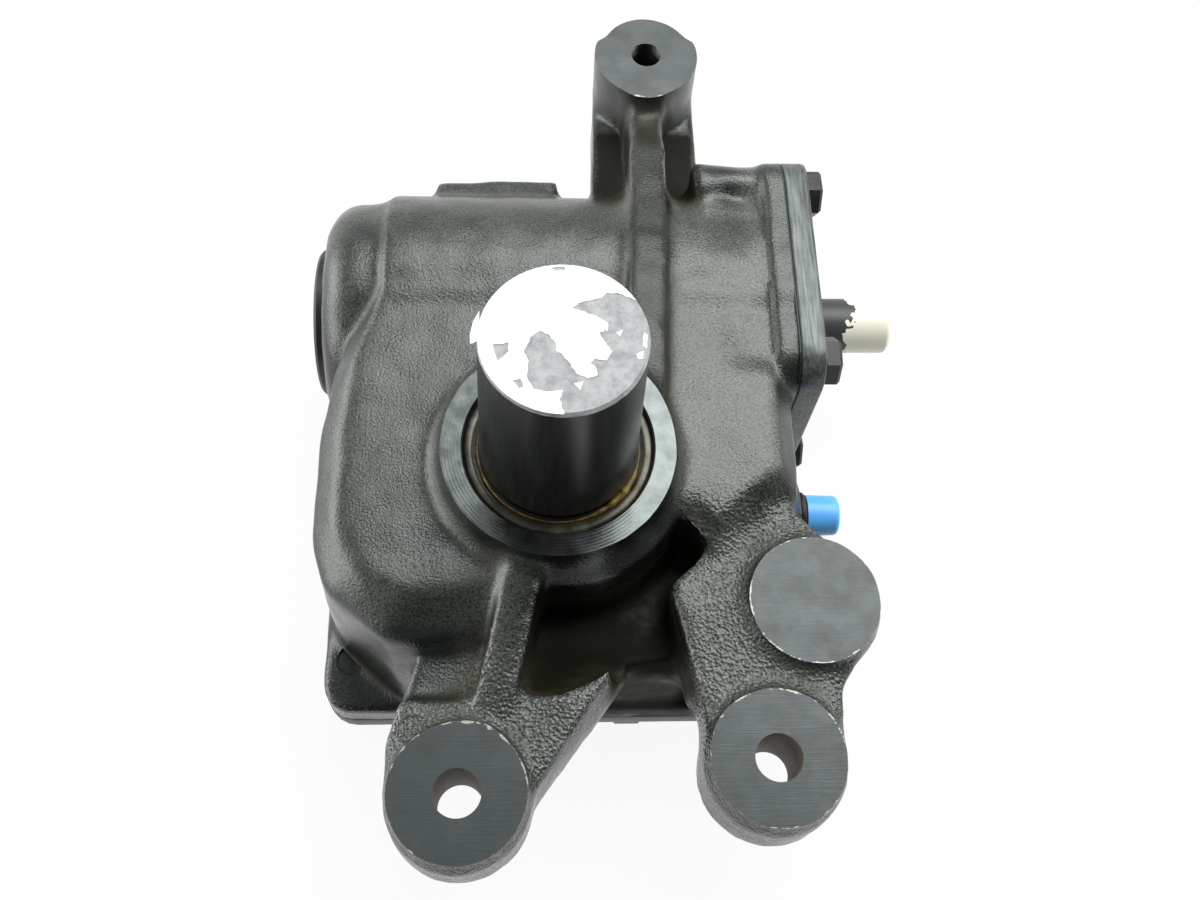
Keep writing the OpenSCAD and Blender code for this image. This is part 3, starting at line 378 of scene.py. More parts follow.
ground_steel = plain("ground_bearing_steel", "#8d9093", "#b4b7ba", 0.25, 1.0, depth=0.01)
bolt_black = plain("black_oxide_bolt", "#1d201f", "#343836", 0.36, 0.2, patch=5)
bronze = plain("bushing_bronze", "#8b6a38", "#b08a4e", 0.35, 1.0, depth=0.02)
rubber = plain("nitrile_rubber", "#101010", "#1b1b1a", 0.55)
fibre = plain("gasket_fibre", "#2a2620", "#3d372c", 0.85, grit=0.8, depth=0.1)
shim = plain("shim_steel", "#1b1d1c", "#2b2d2c", 0.45, 0.3)
cover_paint = plain("black_enamel_cover", "#1d201e", "#303431", 0.4, patch=25, grit=1.4, depth=0.4)
plug_iron = plain("turned_end_plug", "#191b1a", "#2b2e2c", 0.4, patch=12, grit=0.7, depth=0.06)
seal_steel = plain("pressed_seal_case", "#39382d", "#66645a", 0.36, 0.6, patch=7, depth=0.03)
fitting_black = plain("black_nylon_fitting", "#0f1011", "#1d1e1f", 0.5)
blue_cap = plain("blue_polythene_plug", "#58aefc", "#6cbcff", 0.38, patch=15, grit=1.0, depth=0.03)
rusty = plain("rusty_bored_hole", "#33290f", "#665628", 0.6, patch=4, grit=0.8, depth=0.15)
grease = plain("ochre_grease", "#4a3c12", "#94792a", 0.45, patch=2.5, grit=0.7, depth=0.3)
print(len(bpy.data.materials), "materials so far")

# %% [markdown]
# ## Casting skin
# The CAD casting has straight corners where a real one has fillets. A bevel could round single
# edges, but not the corners where many forms run into each other. So a voxel remesh turns
# it into an even skin, and then hollow corners are filled step by step, as a pattern maker
# fills them with wax. Machined faces are raised first and cut back later, so that they end
# in crisp edges. The openings are plugged for the remesh and bored again after it.

# %% Shapes in millimetres


def drum(bm, radius, low, high, at=(0, 0), axis="Z", sides=96):
    """A solid cylinder. For Z, at is x and y; for X, at is y and z."""
    middle = (low + high) / 2
    spot = Vector((at[0], at[1], middle)) if axis == "Z" else Vector((middle, at[0], at[1]))
    turn = Matrix() if axis == "Z" else Matrix.Rotation(math.radians(90), 4, "Y")
    made = bmesh.ops.create_cone(
        bm, cap_ends=True, segments=sides, radius1=radius * MM, radius2=radius * MM,
        depth=(high - low) * MM, matrix=Matrix.Translation(spot * MM) @ turn,
    )
    return made["verts"]


def block(bm, low, high):
    """A solid box between two corners."""
    low, high = Vector(low) * MM, Vector(high) * MM
    made = bmesh.ops.create_cube(bm, size=1.0)
    bmesh.ops.scale(bm, verts=made["verts"], vec=high - low)
    bmesh.ops.translate(bm, verts=made["verts"], vec=(low + high) / 2)


def lathe(bm, profile, at=(0, 0), steps=96):
    """A closed outline of radius and height, turned round an upright axis."""
    outline = [bm.verts.new(Vector((at[0] + r, at[1], z)) * MM) for r, z in profile]
    edges = [bm.edges.new(pair) for pair in zip(outline, outline[1:])]
    if profile[0][0] > 0:
        edges.append(bm.edges.new((outline[-1], outline[0])))
    bmesh.ops.spin(
        bm, geom=outline + edges, cent=Vector((*at, 0)) * MM, axis=(0, 0, 1),
        angle=math.tau, steps=steps, use_merge=True,
    )
    bmesh.ops.remove_doubles(bm, verts=bm.verts, dist=1e-7)
    bmesh.ops.recalc_face_normals(bm, faces=bm.faces)


# %% From a mesh to a finished piece


def piece(name, bm, body, materials, replaced=(), sharp=35):
    """Smooth faces, sharp edges past an angle, a body and the finishes."""
    for face in bm.faces:
        face.smooth = True
    for edge in bm.edges:
        edge.smooth = len(edge.link_faces) == 2 and edge.calc_face_angle() < math.radians(sharp)
    mesh = bpy.data.meshes.new(name)
    bm.to_mesh(mesh)
    bm.free()
    made = bpy.data.objects.new(name, mesh)
    bpy.context.scene.collection.objects.link(made)
    for material in materials:
        mesh.materials.append(material)
    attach(made, body)
    if replaced:
        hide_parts(*replaced)
    print(name, "has", len(mesh.polygons), "faces")
    return made


# %% Raised faces
RAISE = 4.0
solid = bmesh.new()
solid.from_mesh(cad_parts["housing"].data)
bmesh.ops.remove_doubles(solid, verts=solid.verts, dist=1e-6)
solid.normal_update()
flats = {(0, 0, 1): (MOUNT_Z, 0.0), (1, 0, 0): (END_X, PORT_X), (0, 0, -1): (-FLANGE_Z,)}
raised = 0
for direction, levels in flats.items():
    way = Vector(direction)
    for level in levels:
        faces = [
            f for f in solid.faces
            if f.normal.dot(way) > 0.9999 and abs(f.calc_center_median().dot(way) - level * MM) < 2e-5
        ]
        copy = bmesh.ops.duplicate(solid, geom=faces)["geom"]
        copied = [g for g in copy if isinstance(g, bmesh.types.BMFace)]
        top = bmesh.ops.extrude_face_region(solid, geom=copied, use_keep_orig=True)["geom"]
        lifted = [g for g in top if isinstance(g, bmesh.types.BMVert)]
        bmesh.ops.translate(solid, verts=lifted, vec=way * RAISE * MM)
        raised += len(faces)
print("raised", raised, "flat faces")

# %% Plugs for the openings
SIDE_BOLTS = [(-87, -57), (87, -57), (-87, 30), (87, 18), (-32, -69), (32, -69), (-40, 40), (40, 40)]
END_BOLTS = [(y, z) for y in (52, 138) for z in (-112, -26)]
drum(solid, 45.4, -40, RAISE)
drum(solid, 9.2, PORT_X - 22, PORT_X + RAISE, PORT, "X")
drum(solid, 27, -100.2, -80, WORM, "X")
drum(solid, 47, 84, END_X + RAISE - 0.1, WORM, "X")
block(solid, (-76, -61, FLANGE_Z - RAISE + 0.1), (76, 38.5, -98))
for spot in EARS.values():
    drum(solid, 9.4, MOUNT_Z - 31.8, MOUNT_Z + RAISE - 0.1, spot)
drum(solid, 8, MOUNT_Z - 28, MOUNT_Z + RAISE - 0.1, TOP)
for spot in SIDE_BOLTS:
    drum(solid, 6.4, FLANGE_Z - RAISE + 0.1, -95.1, spot, sides=32)
for spot in END_BOLTS:
    drum(solid, 6.4, 76, END_X + RAISE - 0.1, spot, "X", sides=32)
print("plugged", 7 + len(SIDE_BOLTS) + len(END_BOLTS), "openings")

# %% Remesh
VOXEL = 1.6
rough_mesh = bpy.data.meshes.new("casting_rough")
solid.to_mesh(rough_mesh)
solid.free()
rough = bpy.data.objects.new("casting_rough", rough_mesh)
bpy.context.scene.collection.objects.link(rough)
remesh = rough.modifiers.new("voxels", "REMESH")
remesh.mode = "VOXEL"
remesh.voxel_size = VOXEL * MM
whole = bpy.data.meshes.new_from_object(rough.evaluated_get(bpy.context.evaluated_depsgraph_get()))
bpy.data.objects.remove(rough)
print("remeshed to", len(whole.polygons), "faces")

# %% [markdown]
# The remesh also skins the hollow inside. Every point takes the lowest number among its
# neighbours until nothing changes, so each closed skin ends with one number of its own.
# The skin with the most points is the outer one, and it alone is kept.

# %% Outer skin alone
points = np.empty(len(whole.vertices) * 3)
whole.vertices.foreach_get("co", points)
points = points.reshape(-1, 3)
corners = np.array([p.vertices[:] for p in whole.polygons])
island = np.arange(len(points))
while True:
    lowest = island[corners].min(1)
    before = island.copy()
    for c in range(4):
        np.minimum.at(island, corners[:, c], lowest)
    island = island[island]
    if (island == before).all():
        break
outer = np.bincount(island).argmax()
kept = np.flatnonzero(island == outer)
renumber = np.full(len(points), -1)
renumber[kept] = np.arange(len(kept))
corners = renumber[corners[island[corners[:, 0]] == outer]]
points = points[kept]
count = len(points)
print("outer skin:", count, "of", len(whole.vertices), "points")

# %% [markdown]
# The fillets come from moving each point towards the middle of its neighbours, but only
# where that moves it outwards. Proud edges are rounded much less, apart from the large
# curves at the left of the chamber. Last, the sand's lumps are pushed into the surface.

# %% Neighbours, directions and soft steps
sides = np.sort(np.concatenate([corners[:, [k, (k + 1) % 4]] for k in range(4)]), axis=1)
one, two = np.unique(sides, axis=0).T
neighbours = np.bincount(one, minlength=count) + np.bincount(two, minlength=count)


def towards_neighbours(p):
    """From each point to the middle of its neighbours."""
    total = [np.bincount(one, p[two, k], count) + np.bincount(two, p[one, k], count) for k in range(3)]
    return np.stack(total, 1) / neighbours[:, None] - p


def outward(p):
    """Each point's direction away from the metal."""
    across = np.cross(p[corners[:, 2]] - p[corners[:, 0]], p[corners[:, 3]] - p[corners[:, 1]])
    total = np.stack(
        [sum(np.bincount(corners[:, c], across[:, k], count) for c in range(4)) for k in range(3)], 1
    )
    return total / np.maximum(np.linalg.norm(total, axis=1, keepdims=True), 1e-12)


def ramp(value, low, high):
    """A soft step from 0 at low to 1 at high."""
    share = np.clip((value - low) / (high - low), 0, 1)
    return share * share * (3 - 2 * share)


def smoothed(p, steps, hollows, edges=0.0):
    """The points after steps towards their neighbours, with a share for hollows and one for edges."""
    p = p.copy()
    for step in range(steps):
        pull = towards_neighbours(p)
        outwards = np.einsum("ij,ij->i", pull, outward(p)) > 0
        p += np.where(outwards, hollows, edges)[:, None] * pull
    return p


print(len(one), "edges between", count, "points")

# %% Fillets
FILLET_STEPS, FILLET_LIMIT = 26, 3.2
x, y, z = (points / MM).T
from_boss = np.hypot(x, y)
chamber_left = ramp(-x, 26, 40) * ramp(y, -68, -58) * ramp(z, -100, -90) * ramp(from_boss, 54, 60)
chamber_right = ramp(x, 70, 80) * ramp(y, -14, -4) * ramp(-y, -34, -26) * ramp(z, -90, -80)
at_groove = ramp(-x, 58, 64) * ramp(y, 34, 44)
fin = np.exp(-((x - 16) ** 2 + (y + 80) ** 2) / 60) * ramp(z, -60, -50)
fill = 0.5 - 0.44 * at_groove
proud = 0.05 + 0.3 * np.maximum.reduce([chamber_left * (1 - at_groove), 0.5 * chamber_right, fin])
moved = smoothed(points, FILLET_STEPS, fill, proud) - points
far = np.linalg.norm(moved, axis=1, keepdims=True) / (FILLET_LIMIT * MM)
points = points + moved / np.maximum(far, 1) ** 0.6
for step in range(3):
    points += 0.5 * towards_neighbours(points)
points = smoothed(points, 70, 0.5 * ramp(y, 116, 150))

soft = points.copy()
for step in range(60):
    soft += 0.5 * towards_neighbours(soft)
away = outward(points)
sunk = np.einsum("ij,ij->i", soft - points, away) / MM
print("hollow by up to", round(sunk.max(), 2), "mm, proud by up to", round(-sunk.min(), 2), "mm")

# %% [markdown]
# The front isn't one plane. The worm barrel stands a little proud of the face below it,
# the face dips beside the end flange so that a rim is left, and a shallow hollow lies at its top.
# On the top arm the metal beside the rib is set back, and the step is softened.

# %% Relief on the front
x, y, z = (points / MM).T
rib_x = np.interp(y, (18, 98, 196), (34.5, 39.3, 43.5))
from_rib = np.abs(x - rib_x)
beside_rib = np.maximum(ramp(from_rib, 8, 11), ramp(-y, -18, -14))
front = ramp(away[:, 2], 0.1, 0.6) * ramp(z, -40, -20) * beside_rib
below_barrel = 1.4 * ramp(-y, -80, -69) * ramp(y, -60, -30) * ramp(from_boss, 47, 52)
beside_rim = 2.3 * ramp(-x, -93, -90) * ramp(x, 62, 86) * ramp(y, 38, 50)
top_hollow = 2.6 * np.exp(-(((x - 79) / 10) ** 2) - ((y - 131) / 5) ** 2)
points[:, 2] -= front * (below_barrel + beside_rim + top_hollow) * MM
neck = ramp(np.hypot(x - TOP[0], y - TOP[1]), 25, 27.5) * ramp(y, 154, 174) * ramp(z, -46, -36)
points[:, 2] -= 6 * neck * MM
for step in range(18):
    points += 0.5 * neck[:, None] * towards_neighbours(points)
print("relief on", int((front > 0.5).sum()), "points of the front")

# %% Where dirt, painted shade, painted sheen and pebbles sit
on_arms = np.maximum(ramp(-y, 60, 86), ramp(x, 42, 60) * ramp(-y, 4, 24)) * ramp(z, -80, -66)
in_valley = ramp(-z, 28, 36) * ramp(-y, 8, 20) * ramp(y, -94, -84) * ramp(x, -16, -8) * ramp(-x, -66, -56)
shelf = ramp(-x, 35, 41) * ramp(y, -98, -92)
on_arms *= (1 - in_valley) * (1 - shelf)
on_rib = ramp(-from_rib, -9, -7) * ramp(y, 20, 30) * ramp(-y, -190, -184) * ramp(z, -60, -50)
by_arm = ramp(y, 124, 134) * ramp(x, 4, 14) * ramp(-x, -84, -74)
channel = ramp(y, 122, 136) * ramp(-y, -192, -182) * ramp(from_rib, 8, 11) * ramp(-from_rib, -24.5, -22)
# The film is dust on faces that look up and also painted sheen: thicker to the right and lifted onto the
# barrel's top.
film_and_sheen_level = (0.24 + 0.1 * ramp(x, 0, 60)) * ramp(away[:, 2], 0.25, 0.85)
film_and_sheen_height = ramp(z + 14 * ramp(y, 96, 118), -44, -28)
film_and_sheen_kept = (1 - 0.5 * on_arms) * (1 - 0.7 * ramp(x, 87, 92)) * (1 - by_arm)
# The dust value is olive dust and painted shade: deep hollows, the valley and the channels beside the rib
# get high values, which go near black.
values = {
    "dust_and_shade": np.maximum.reduce([ramp(sunk, 0.35, 2.4), 1.4 * in_valley, 2 * channel, 0.35 * on_rib]),
    "edge": ramp(-sunk, 0.9, 2.6) * (0.4 + 0.6 * on_arms),
    "lumpy": 0.04 + 0.42 * on_arms,
    "film_and_sheen": film_and_sheen_level * film_and_sheen_height * film_and_sheen_kept * beside_rib * (1 - shelf * ramp(-y, 60, 70)),
}
print("mean of each value:", {name: round(float(v.mean()), 3) for name, v in values.items()})

# %% Sand lumps
HEAVE, LUMP = 11.0, 3.4
heave = np.array([noise.noise(Vector(p) / (HEAVE * MM)) for p in points])
lump = np.array([noise.noise(Vector(p) / (LUMP * MM)) for p in points])
swell = 0.3 * heave + (0.05 + 0.06 * on_arms) * lump
points += away * (swell * MM)[:, None]
skin_mesh = bpy.data.meshes.new("housing_casting")
skin_mesh.from_pydata(points.tolist(), [], corners.tolist())
print("lumps of up to", round(float(np.abs(swell).max()), 2), "mm")

# %% [markdown]
# A machine shop now takes its cuts: it faces the flats, bores the holes and opens the inside.
# A boolean does each cut. The hollows are those of the CAD casting, so the gear has its room.

# %% Cutter
housing_skin = bpy.data.objects.new("housing_casting", skin_mesh)
bpy.context.scene.collection.objects.link(housing_skin)


def cut(target, cutter):
    """Takes a cutter's shape out of the target's mesh."""
    cutter_mesh = bpy.data.meshes.new("cutter")
    bmesh.ops.recalc_face_normals(cutter, faces=cutter.faces)
    cutter.to_mesh(cutter_mesh)
    cutter.free()
    tool = bpy.data.objects.new("cutter", cutter_mesh)
    bpy.context.scene.collection.objects.link(tool)
    change = target.modifiers.new("cut", "BOOLEAN")
    change.operation, change.solver, change.object = "DIFFERENCE", "MANIFOLD", tool
    mesh = bpy.data.meshes.new_from_object(target.evaluated_get(bpy.context.evaluated_depsgraph_get()))
    target.modifiers.clear()
    bpy.data.objects.remove(tool)
    target.data = mesh


# %% Faces and bores
faces = bmesh.new()
drum(faces, 52, 0, 12)
for spot in FACES:
    drum(faces, 29, MOUNT_Z, MOUNT_Z + 6.5, spot)
block(faces, (END_X, 36, -130), (END_X + 10, 156, -6))
drum(faces, 16, PORT_X, PORT_X + 10, PORT, "X")
block(faces, (-104, -86, FLANGE_Z - 10), (56.5, 52.2, FLANGE_Z))
cut(housing_skin, faces)

bores = bmesh.new()
for spot in EARS.values():
    drum(bores, 8.75, -70, 0, spot)
drum(bores, 7, PORT_X - 25, PORT_X + 5, PORT, "X", sides=48)
drum(bores, 26, -110, -88, WORM, "X")
block(bores, (56, -86, FLANGE_Z - 10), (104, 32.5, FLANGE_Z))
for spot in SIDE_BOLTS[:2]:
    drum(bores, 6.3, -95.8, -93, spot, sides=48)
cut(housing_skin, bores)

SEAL_R, SEAL_FLOOR, LEAD_IN = 36.65, -10.5, 0.7
wide = SEAL_R + LEAD_IN
mouth = bmesh.new()
lathe(mouth, [
    (0, SEAL_FLOOR), (SEAL_R, SEAL_FLOOR), (SEAL_R, -LEAD_IN), (wide, 0), (wide, 8), (0, 8),
])
cut(housing_skin, mouth)
print("casting:", len(housing_skin.data.polygons), "faces after facing and boring")

# %% Hollows


def swept_half(bm):
    """The part of the sector's sweep that lies below the chamber's floor."""
    drum(bm, 69.5, -90, -48.2)
    parts = bm.verts[:] + bm.edges[:] + bm.faces[:]
    bmesh.ops.bisect_plane(
        bm, geom=parts, plane_co=(0, -16 * MM, 0), plane_no=(0, -1, 0), clear_outer=True
    )
    bmesh.ops.holes_fill(bm, edges=[e for e in bm.edges if len(e.link_faces) == 1])


hollows = [
    lambda b: drum(b, 46, -88.8, END_X + 5, WORM, "X"),
    lambda b: block(b, (-58, -61, -94), (58, 39, -67)),
    lambda b: block(b, (-80, -38, -94), (80, 39, -67)),
    lambda b: block(b, (-58, -58, FLANGE_Z - 1), (58, 27, -93)),
    lambda b: block(b, (-80, -13, -69), (80, 39, -47.5)),
    lambda b: block(b, (-71, -5, -49), (71, 39, -27.5)),
    swept_half,
    lambda b: drum(b, 44, -90, -48.2),
    lambda b: drum(b, 32.05, -60, 1),
]
for hollow_shape in hollows:
    tool = bmesh.new()
    hollow_shape(tool)
    cut(housing_skin, tool)
print("casting:", len(housing_skin.data.polygons), "faces after the hollows")

# %% Thread in the top ear
ROOT_R, CREST_R, PITCH, TURNS = 7.9, 6.9, 2, 13
foot = MOUNT_Z - PITCH * TURNS
thread = bmesh.new()
crests = [
    point for k in range(TURNS)
    for point in ((CREST_R, foot + PITCH * k), (ROOT_R, foot + PITCH * k + 1))
]
mouth_line = [(CREST_R, MOUNT_Z), (8.0, MOUNT_Z + 1.2), (8.0, MOUNT_Z + 5), (0, MOUNT_Z + 5)]
lathe(thread, [(0, foot)] + crests + mouth_line, TOP, 48)
cut(housing_skin, thread)
print("thread of", TURNS, "turns")

# %% Values on the cut skin
tree_of_points = kdtree.KDTree(count)
for i, p in enumerate(points):
    tree_of_points.insert(p, i)
tree_of_points.balance()
mesh = housing_skin.data
nearest = np.array([tree_of_points.find(v.co)[1] for v in mesh.vertices])
for name, value in values.items():
    attribute = mesh.attributes.new(name, "FLOAT", "POINT")
    attribute.data.foreach_set("value", value[nearest].astype(np.float32))
print("values on the skin:", list(values))

# %% [markdown]
# Where two cuts meet, the boolean can leave two points less than a thousandth of a millimetre
# apart, with slivers between them. Such points are merged before the faces get their finishes.

# %% Double points left by the cuts
edit = bmesh.new()
edit.from_mesh(mesh)
before = len(edit.verts)
bmesh.ops.remove_doubles(edit, verts=edit.verts, dist=1e-6)
print("merged", before - len(edit.verts), "points")

# %% Finishes on the skin
CAST, MILLED, TURNED, RUSTY = range(4)
for face in edit.faces:
    spot = face.calc_center_median() / MM
    from_hole = min((spot.xy - Vector(s)).length for s in EARS.values())
    face.material_index = CAST
    if abs(face.normal.z) < 0.3 and spot.z < MOUNT_Z and from_hole < 8.9:
        face.material_index = RUSTY
    elif face.normal.z > 0.999 and abs(spot.z - MOUNT_Z) < 0.05:
        face.material_index = MILLED
    elif spot.xy.length < 46 and spot.z > -0.75 and face.normal.z > 0.5:
        face.material_index = TURNED
bpy.data.objects.remove(housing_skin)
skin_finishes = (casting, milled, turned, rusty)
housing_skin = piece(
    "housing_casting", edit, "housing", skin_finishes, ("housing",), 32
)
print("casting skin:", sum(len(p.vertices) - 2 for p in housing_skin.data.polygons), "triangles")

# %% [markdown]
# ## Caps
# The sector cap is black plastic with a worn grey top. White paper still sticks to the top
# in one large torn sheet. It could be drawn in the cap's finish, but its torn edges would have
# no thickness, so it is a thin mesh of its own. The input cap is cream plastic, with black
# paint over the half next to the cover.

# %% Sector cap
WORN_Z = 79.9
cap_black, tree, shader = finish_named("black_cap_grey_top", IOR=1.5)
place = add(tree, "TexCoord").outputs["Object"]
axes = add(tree, "SeparateXYZ", None, {0: place})
scuffs = add(tree, "TexNoise", None, {
    "Vector": place, "Scale": 1 / (5 * MM), "Detail": 6.0, "Roughness": 0.7,
}).outputs["Fac"]
drawn = add(tree, "Mapping", None, {"Vector": place, "Scale": (500, 500, 40)})
streak = add(tree, "TexNoise", None, {"Vector": drawn.outputs[0], "Scale": 1.0, "Detail": 3.0})
top_grey = add(tree, "ValToRGB", None, {"Fac": scuffs}, ((0.35, "#85888a"), (0.62, "#aaadad")))
side_black = add(tree, "ValToRGB", None, {"Fac": streak.outputs["Fac"]}, (
    (0.35, "#121413"), (0.7, "#232625"),
))
ragged = add(tree, "Math", TIMES_PLUS, {0: scuffs, 1: 1.6 * MM, 2: axes.outputs["Z"]})
on_top = add(tree, "Math", {"operation": "GREATER_THAN"}, {0: ragged.outputs[0], 1: WORN_Z * MM})
painted = add(tree, "Mix", COLOURS, {
    0: on_top.outputs[0], 6: side_black.outputs["Color"], 7: top_grey.outputs["Color"],
})
sheen = add(tree, "MapRange", None, {0: on_top.outputs[0], 1: 0, 2: 1, 3: 0.3, 4: 0.5})
relief = add(tree, "Bump", None, {"Strength": 0.5, "Distance": 0.06 * MM, "Height": scuffs})
wire(tree, shader, Base_Color=painted.outputs[2], Roughness=sheen.outputs[0], Normal=relief.outputs[0])
torn_white = plain("torn_white_paper", "#f3f3ee", "#fbfbf8", 0.6, patch=6, grit=0.6, depth=0.08)
print("cap finish has", len(tree.nodes), "nodes")

# %% Outlines of the tears, and of shreds left inside them
TOP_Z, PAPER_R, PAPER_T = 80.5, 28.1, 0.22
tears = [
    [(-11, 0), (-7.5, 2.5), (-4.5, 0.5), (-2.5, -2), (-2.5, -5), (0, -7), (2, -10), (4, -13.5),
     (7.5, -15), (11, -14), (10.5, -11.5), (8.5, -9.5), (10, -8), (14, -8.5), (15.5, -5), (13.5, -2),
     (12, 1), (12, 3), (14.5, 2.5), (14.5, 6), (11, 8), (7.5, 9.5), (3, 11), (5, 13), (8, 14),
     (12.5, 15), (14.5, 17), (19, 17), (21.5, 15.5), (25, 14), (30, 8), (31, 0), (30, -6), (28, -13),
     (23, -19), (16, -24), (9, -28), (0, -29), (-1.5, -22.5), (-0.5, -19.5), (-5.5, -20), (-10, -19),
     (-12, -15), (-11.5, -9), (-13, -5), (-11.5, -2)],
    [(-23, -3), (-18, -2), (-18, -5.5), (-21.5, -9), (-22.5, -6)],
    [(-16.5, -16), (-14, -15.5), (-13, -18), (-14.5, -19)],
    [(-4, 27), (0.5, 27.3), (0.5, 25.7), (-2.5, 25.7)],
]
shreds = [
    [(17, 2), (19.5, 3), (18.5, 0.5)],
    [(23.5, -6), (26, -5), (25.5, -8), (24, -8)],
    [(3, -17), (6, -16.5), (5, -19.5)],
    [(9.5, 3.5), (14, 5), (13, 2)],
    [(26.2, 2), (27.6, 1), (27, -4), (25.8, -3)],
]
flap = [
    (-27.6, 9.8, 80.6), (-29.6, 6.2, 79.8), (-30.6, 1.5, 78.9),
    (-30.4, -1.6, 78.7), (-27.9, -1.4, 80.3), (-27.6, 4, 80.7),
]
print(len(tears), "tears and", len(shreds), "shreds")

# %% Ragged lines
chance = random.Random(11)


def ragged_line(outline, step, jitter):
    """The outline with extra points between its corners, each moved a little at random."""
    line = []
    for here, there in zip(outline, outline[1:] + outline[:1]):
        here, there = Vector(here), Vector(there)
        parts = max(1, round((there - here).length / step))
        for k in range(parts):
            spot = here.lerp(there, k / parts)
            line.append(spot + Vector((chance.uniform(-jitter, jitter), chance.uniform(-jitter, jitter))))
    return line


def inside(spot, outline):
    """Whether a line from the spot to the right crosses the outline an odd number of times."""
    crossings = 0
    for here, there in zip(outline, outline[1:] + outline[:1]):
        if (here.y > spot.y) != (there.y > spot.y):
            crossings += spot.x < here.x + (spot.y - here.y) / (there.y - here.y) * (there.x - here.x)
    return crossings % 2 == 1


turns = [math.tau * k / 120 for k in range(120)]
disc_line = [Vector((PAPER_R * math.cos(a), PAPER_R * math.sin(a))) for a in turns]
tear_lines = [ragged_line(t, 0.9, 0.22) for t in tears]
shred_lines = [ragged_line(s, 0.8, 0.15) for s in shreds]
print("longest tear has", max(map(len, tear_lines)), "points")

# %% [markdown]
# A triangulation that keeps given lines splits the disc along every tear. The triangles
# inside a tear are left out, apart from shreds, and the rest is given the paper's thickness.

# %% Torn paper on the sector cap
spots, edges = [], []
for outline in (disc_line, *tear_lines, *shred_lines):
    first = len(spots)
    spots += outline
    edges += [(first + k, first + (k + 1) % len(outline)) for k in range(len(outline))]
flat_points, _, flat_faces, *_ = geometry.delaunay_2d_cdt(spots, edges, [], 0, 1e-4)
sheet = bmesh.new()
corner_points = [sheet.verts.new(Vector((p.x, p.y, TOP_Z)) * MM) for p in flat_points]
for tri in flat_faces:
    middle = sum((flat_points[k] for k in tri), Vector((0, 0))) / 3
    in_tear = any(inside(middle, t) for t in tear_lines)
    in_shred = any(inside(middle, s) for s in shred_lines)
    if middle.length < PAPER_R - 0.01 and (in_shred or not in_tear):
        sheet.faces.new([corner_points[k] for k in tri])
bmesh.ops.delete(sheet, geom=[v for v in sheet.verts if not v.link_faces], context="VERTS")
sheet.faces.new([sheet.verts.new(Vector(p) * MM) for p in flap])
bmesh.ops.recalc_face_normals(sheet, faces=sheet.faces)
for face in sheet.faces:
    if face.normal.z < 0:
        face.normal_flip()
grown = bmesh.ops.extrude_face_region(sheet, geom=sheet.faces[:])["geom"]
lifted = [g for g in grown if isinstance(g, bmesh.types.BMVert)]
bmesh.ops.translate(sheet, verts=lifted, vec=(0, 0, PAPER_T * MM))
bmesh.ops.recalc_face_normals(sheet, faces=sheet.faces)
piece("torn_paper", sheet, "sector_cap", (torn_white,))

# %% Cream input cap
PAINT_REACH, PAINT_END, PAINT_SLANT = 26, 117, -0.35
cap_cream, tree, shader = finish_named("cream_polythene_cap", IOR=1.5, Roughness=0.42)
place = add(tree, "TexCoord").outputs["Object"]
tatters = add(tree, "TexNoise", None, {
    "Vector": place, "Scale": 1 / (7 * MM), "Detail": 2.5, "Roughness": 0.5,
}).outputs["Fac"]
axes = add(tree, "SeparateXYZ", None, {0: place}).outputs
reach = add(tree, "Math", TIMES_PLUS, {0: tatters, 1: PAINT_REACH * MM, 2: axes["X"]})
higher = add(tree, "Math", TIMES_PLUS, {0: axes["Y"], 1: PAINT_SLANT, 2: reach.outputs[0]})
covered = add(tree, "Math", {"operation": "LESS_THAN"}, {0: higher.outputs[0], 1: PAINT_END * MM})
painted = add(tree, "Mix", COLOURS, {
    0: covered.outputs[0], 6: linear("#fbf9e6"), 7: linear("#3d413f"),
})
relief = add(tree, "Bump", None, {"Strength": 0.4, "Distance": 0.1 * MM, "Height": tatters})
wire(tree, shader, Base_Color=painted.outputs[2], Normal=relief.outputs[0])
print("input cap finish has", len(tree.nodes), "nodes")

# %% [markdown]
# ## Covers, bolts and the seal
# The end cover was sawn from plate, so its edge has fine strokes along it. Plates get a small
# edge rounding. A bolt head is a hexagon with its top corners turned off, on a thin washer face.
# The seal is a pressed steel cup with a rolled lip, and old grease is smeared round its mouth.
# Both are turned from an outline, and the grease is then heaped up in three places.

# %% Milled edge of the end cover
cover_edge, tree, shader = finish_named("sawn_end_cover", IOR=1.5, Metallic=0.35, Roughness=0.36)
place = add(tree, "TexCoord").outputs["Object"]
strokes = add(tree, "Mapping", None, {"Vector": place, "Scale": (900, 60, 900)})
lines = add(tree, "TexNoise", None, {"Vector": strokes.outputs[0], "Scale": 1.0, "Detail": 3.0})
smudge = add(tree, "TexNoise", None, {
    "Vector": place, "Scale": 1 / (16 * MM), "Detail": 4.0, "Roughness": 0.6,
})
mixed = add(tree, "Math", TIMES_PLUS, {0: smudge.outputs["Fac"], 1: 0.6, 2: lines.outputs["Fac"]})
tone = add(tree, "ValToRGB", None, {"Fac": mixed.outputs[0]}, ((0.55, "#363c3a"), (1.0, "#6a716f")))
relief = add(tree, "Bump", None, {
    "Strength": 0.3, "Distance": 0.15 * MM, "Height": lines.outputs["Fac"],
})
wire(tree, shader, Base_Color=tone.outputs["Color"], Normal=relief.outputs[0])
print("cover finish has", len(tree.nodes), "nodes")

# %% Rounded plates


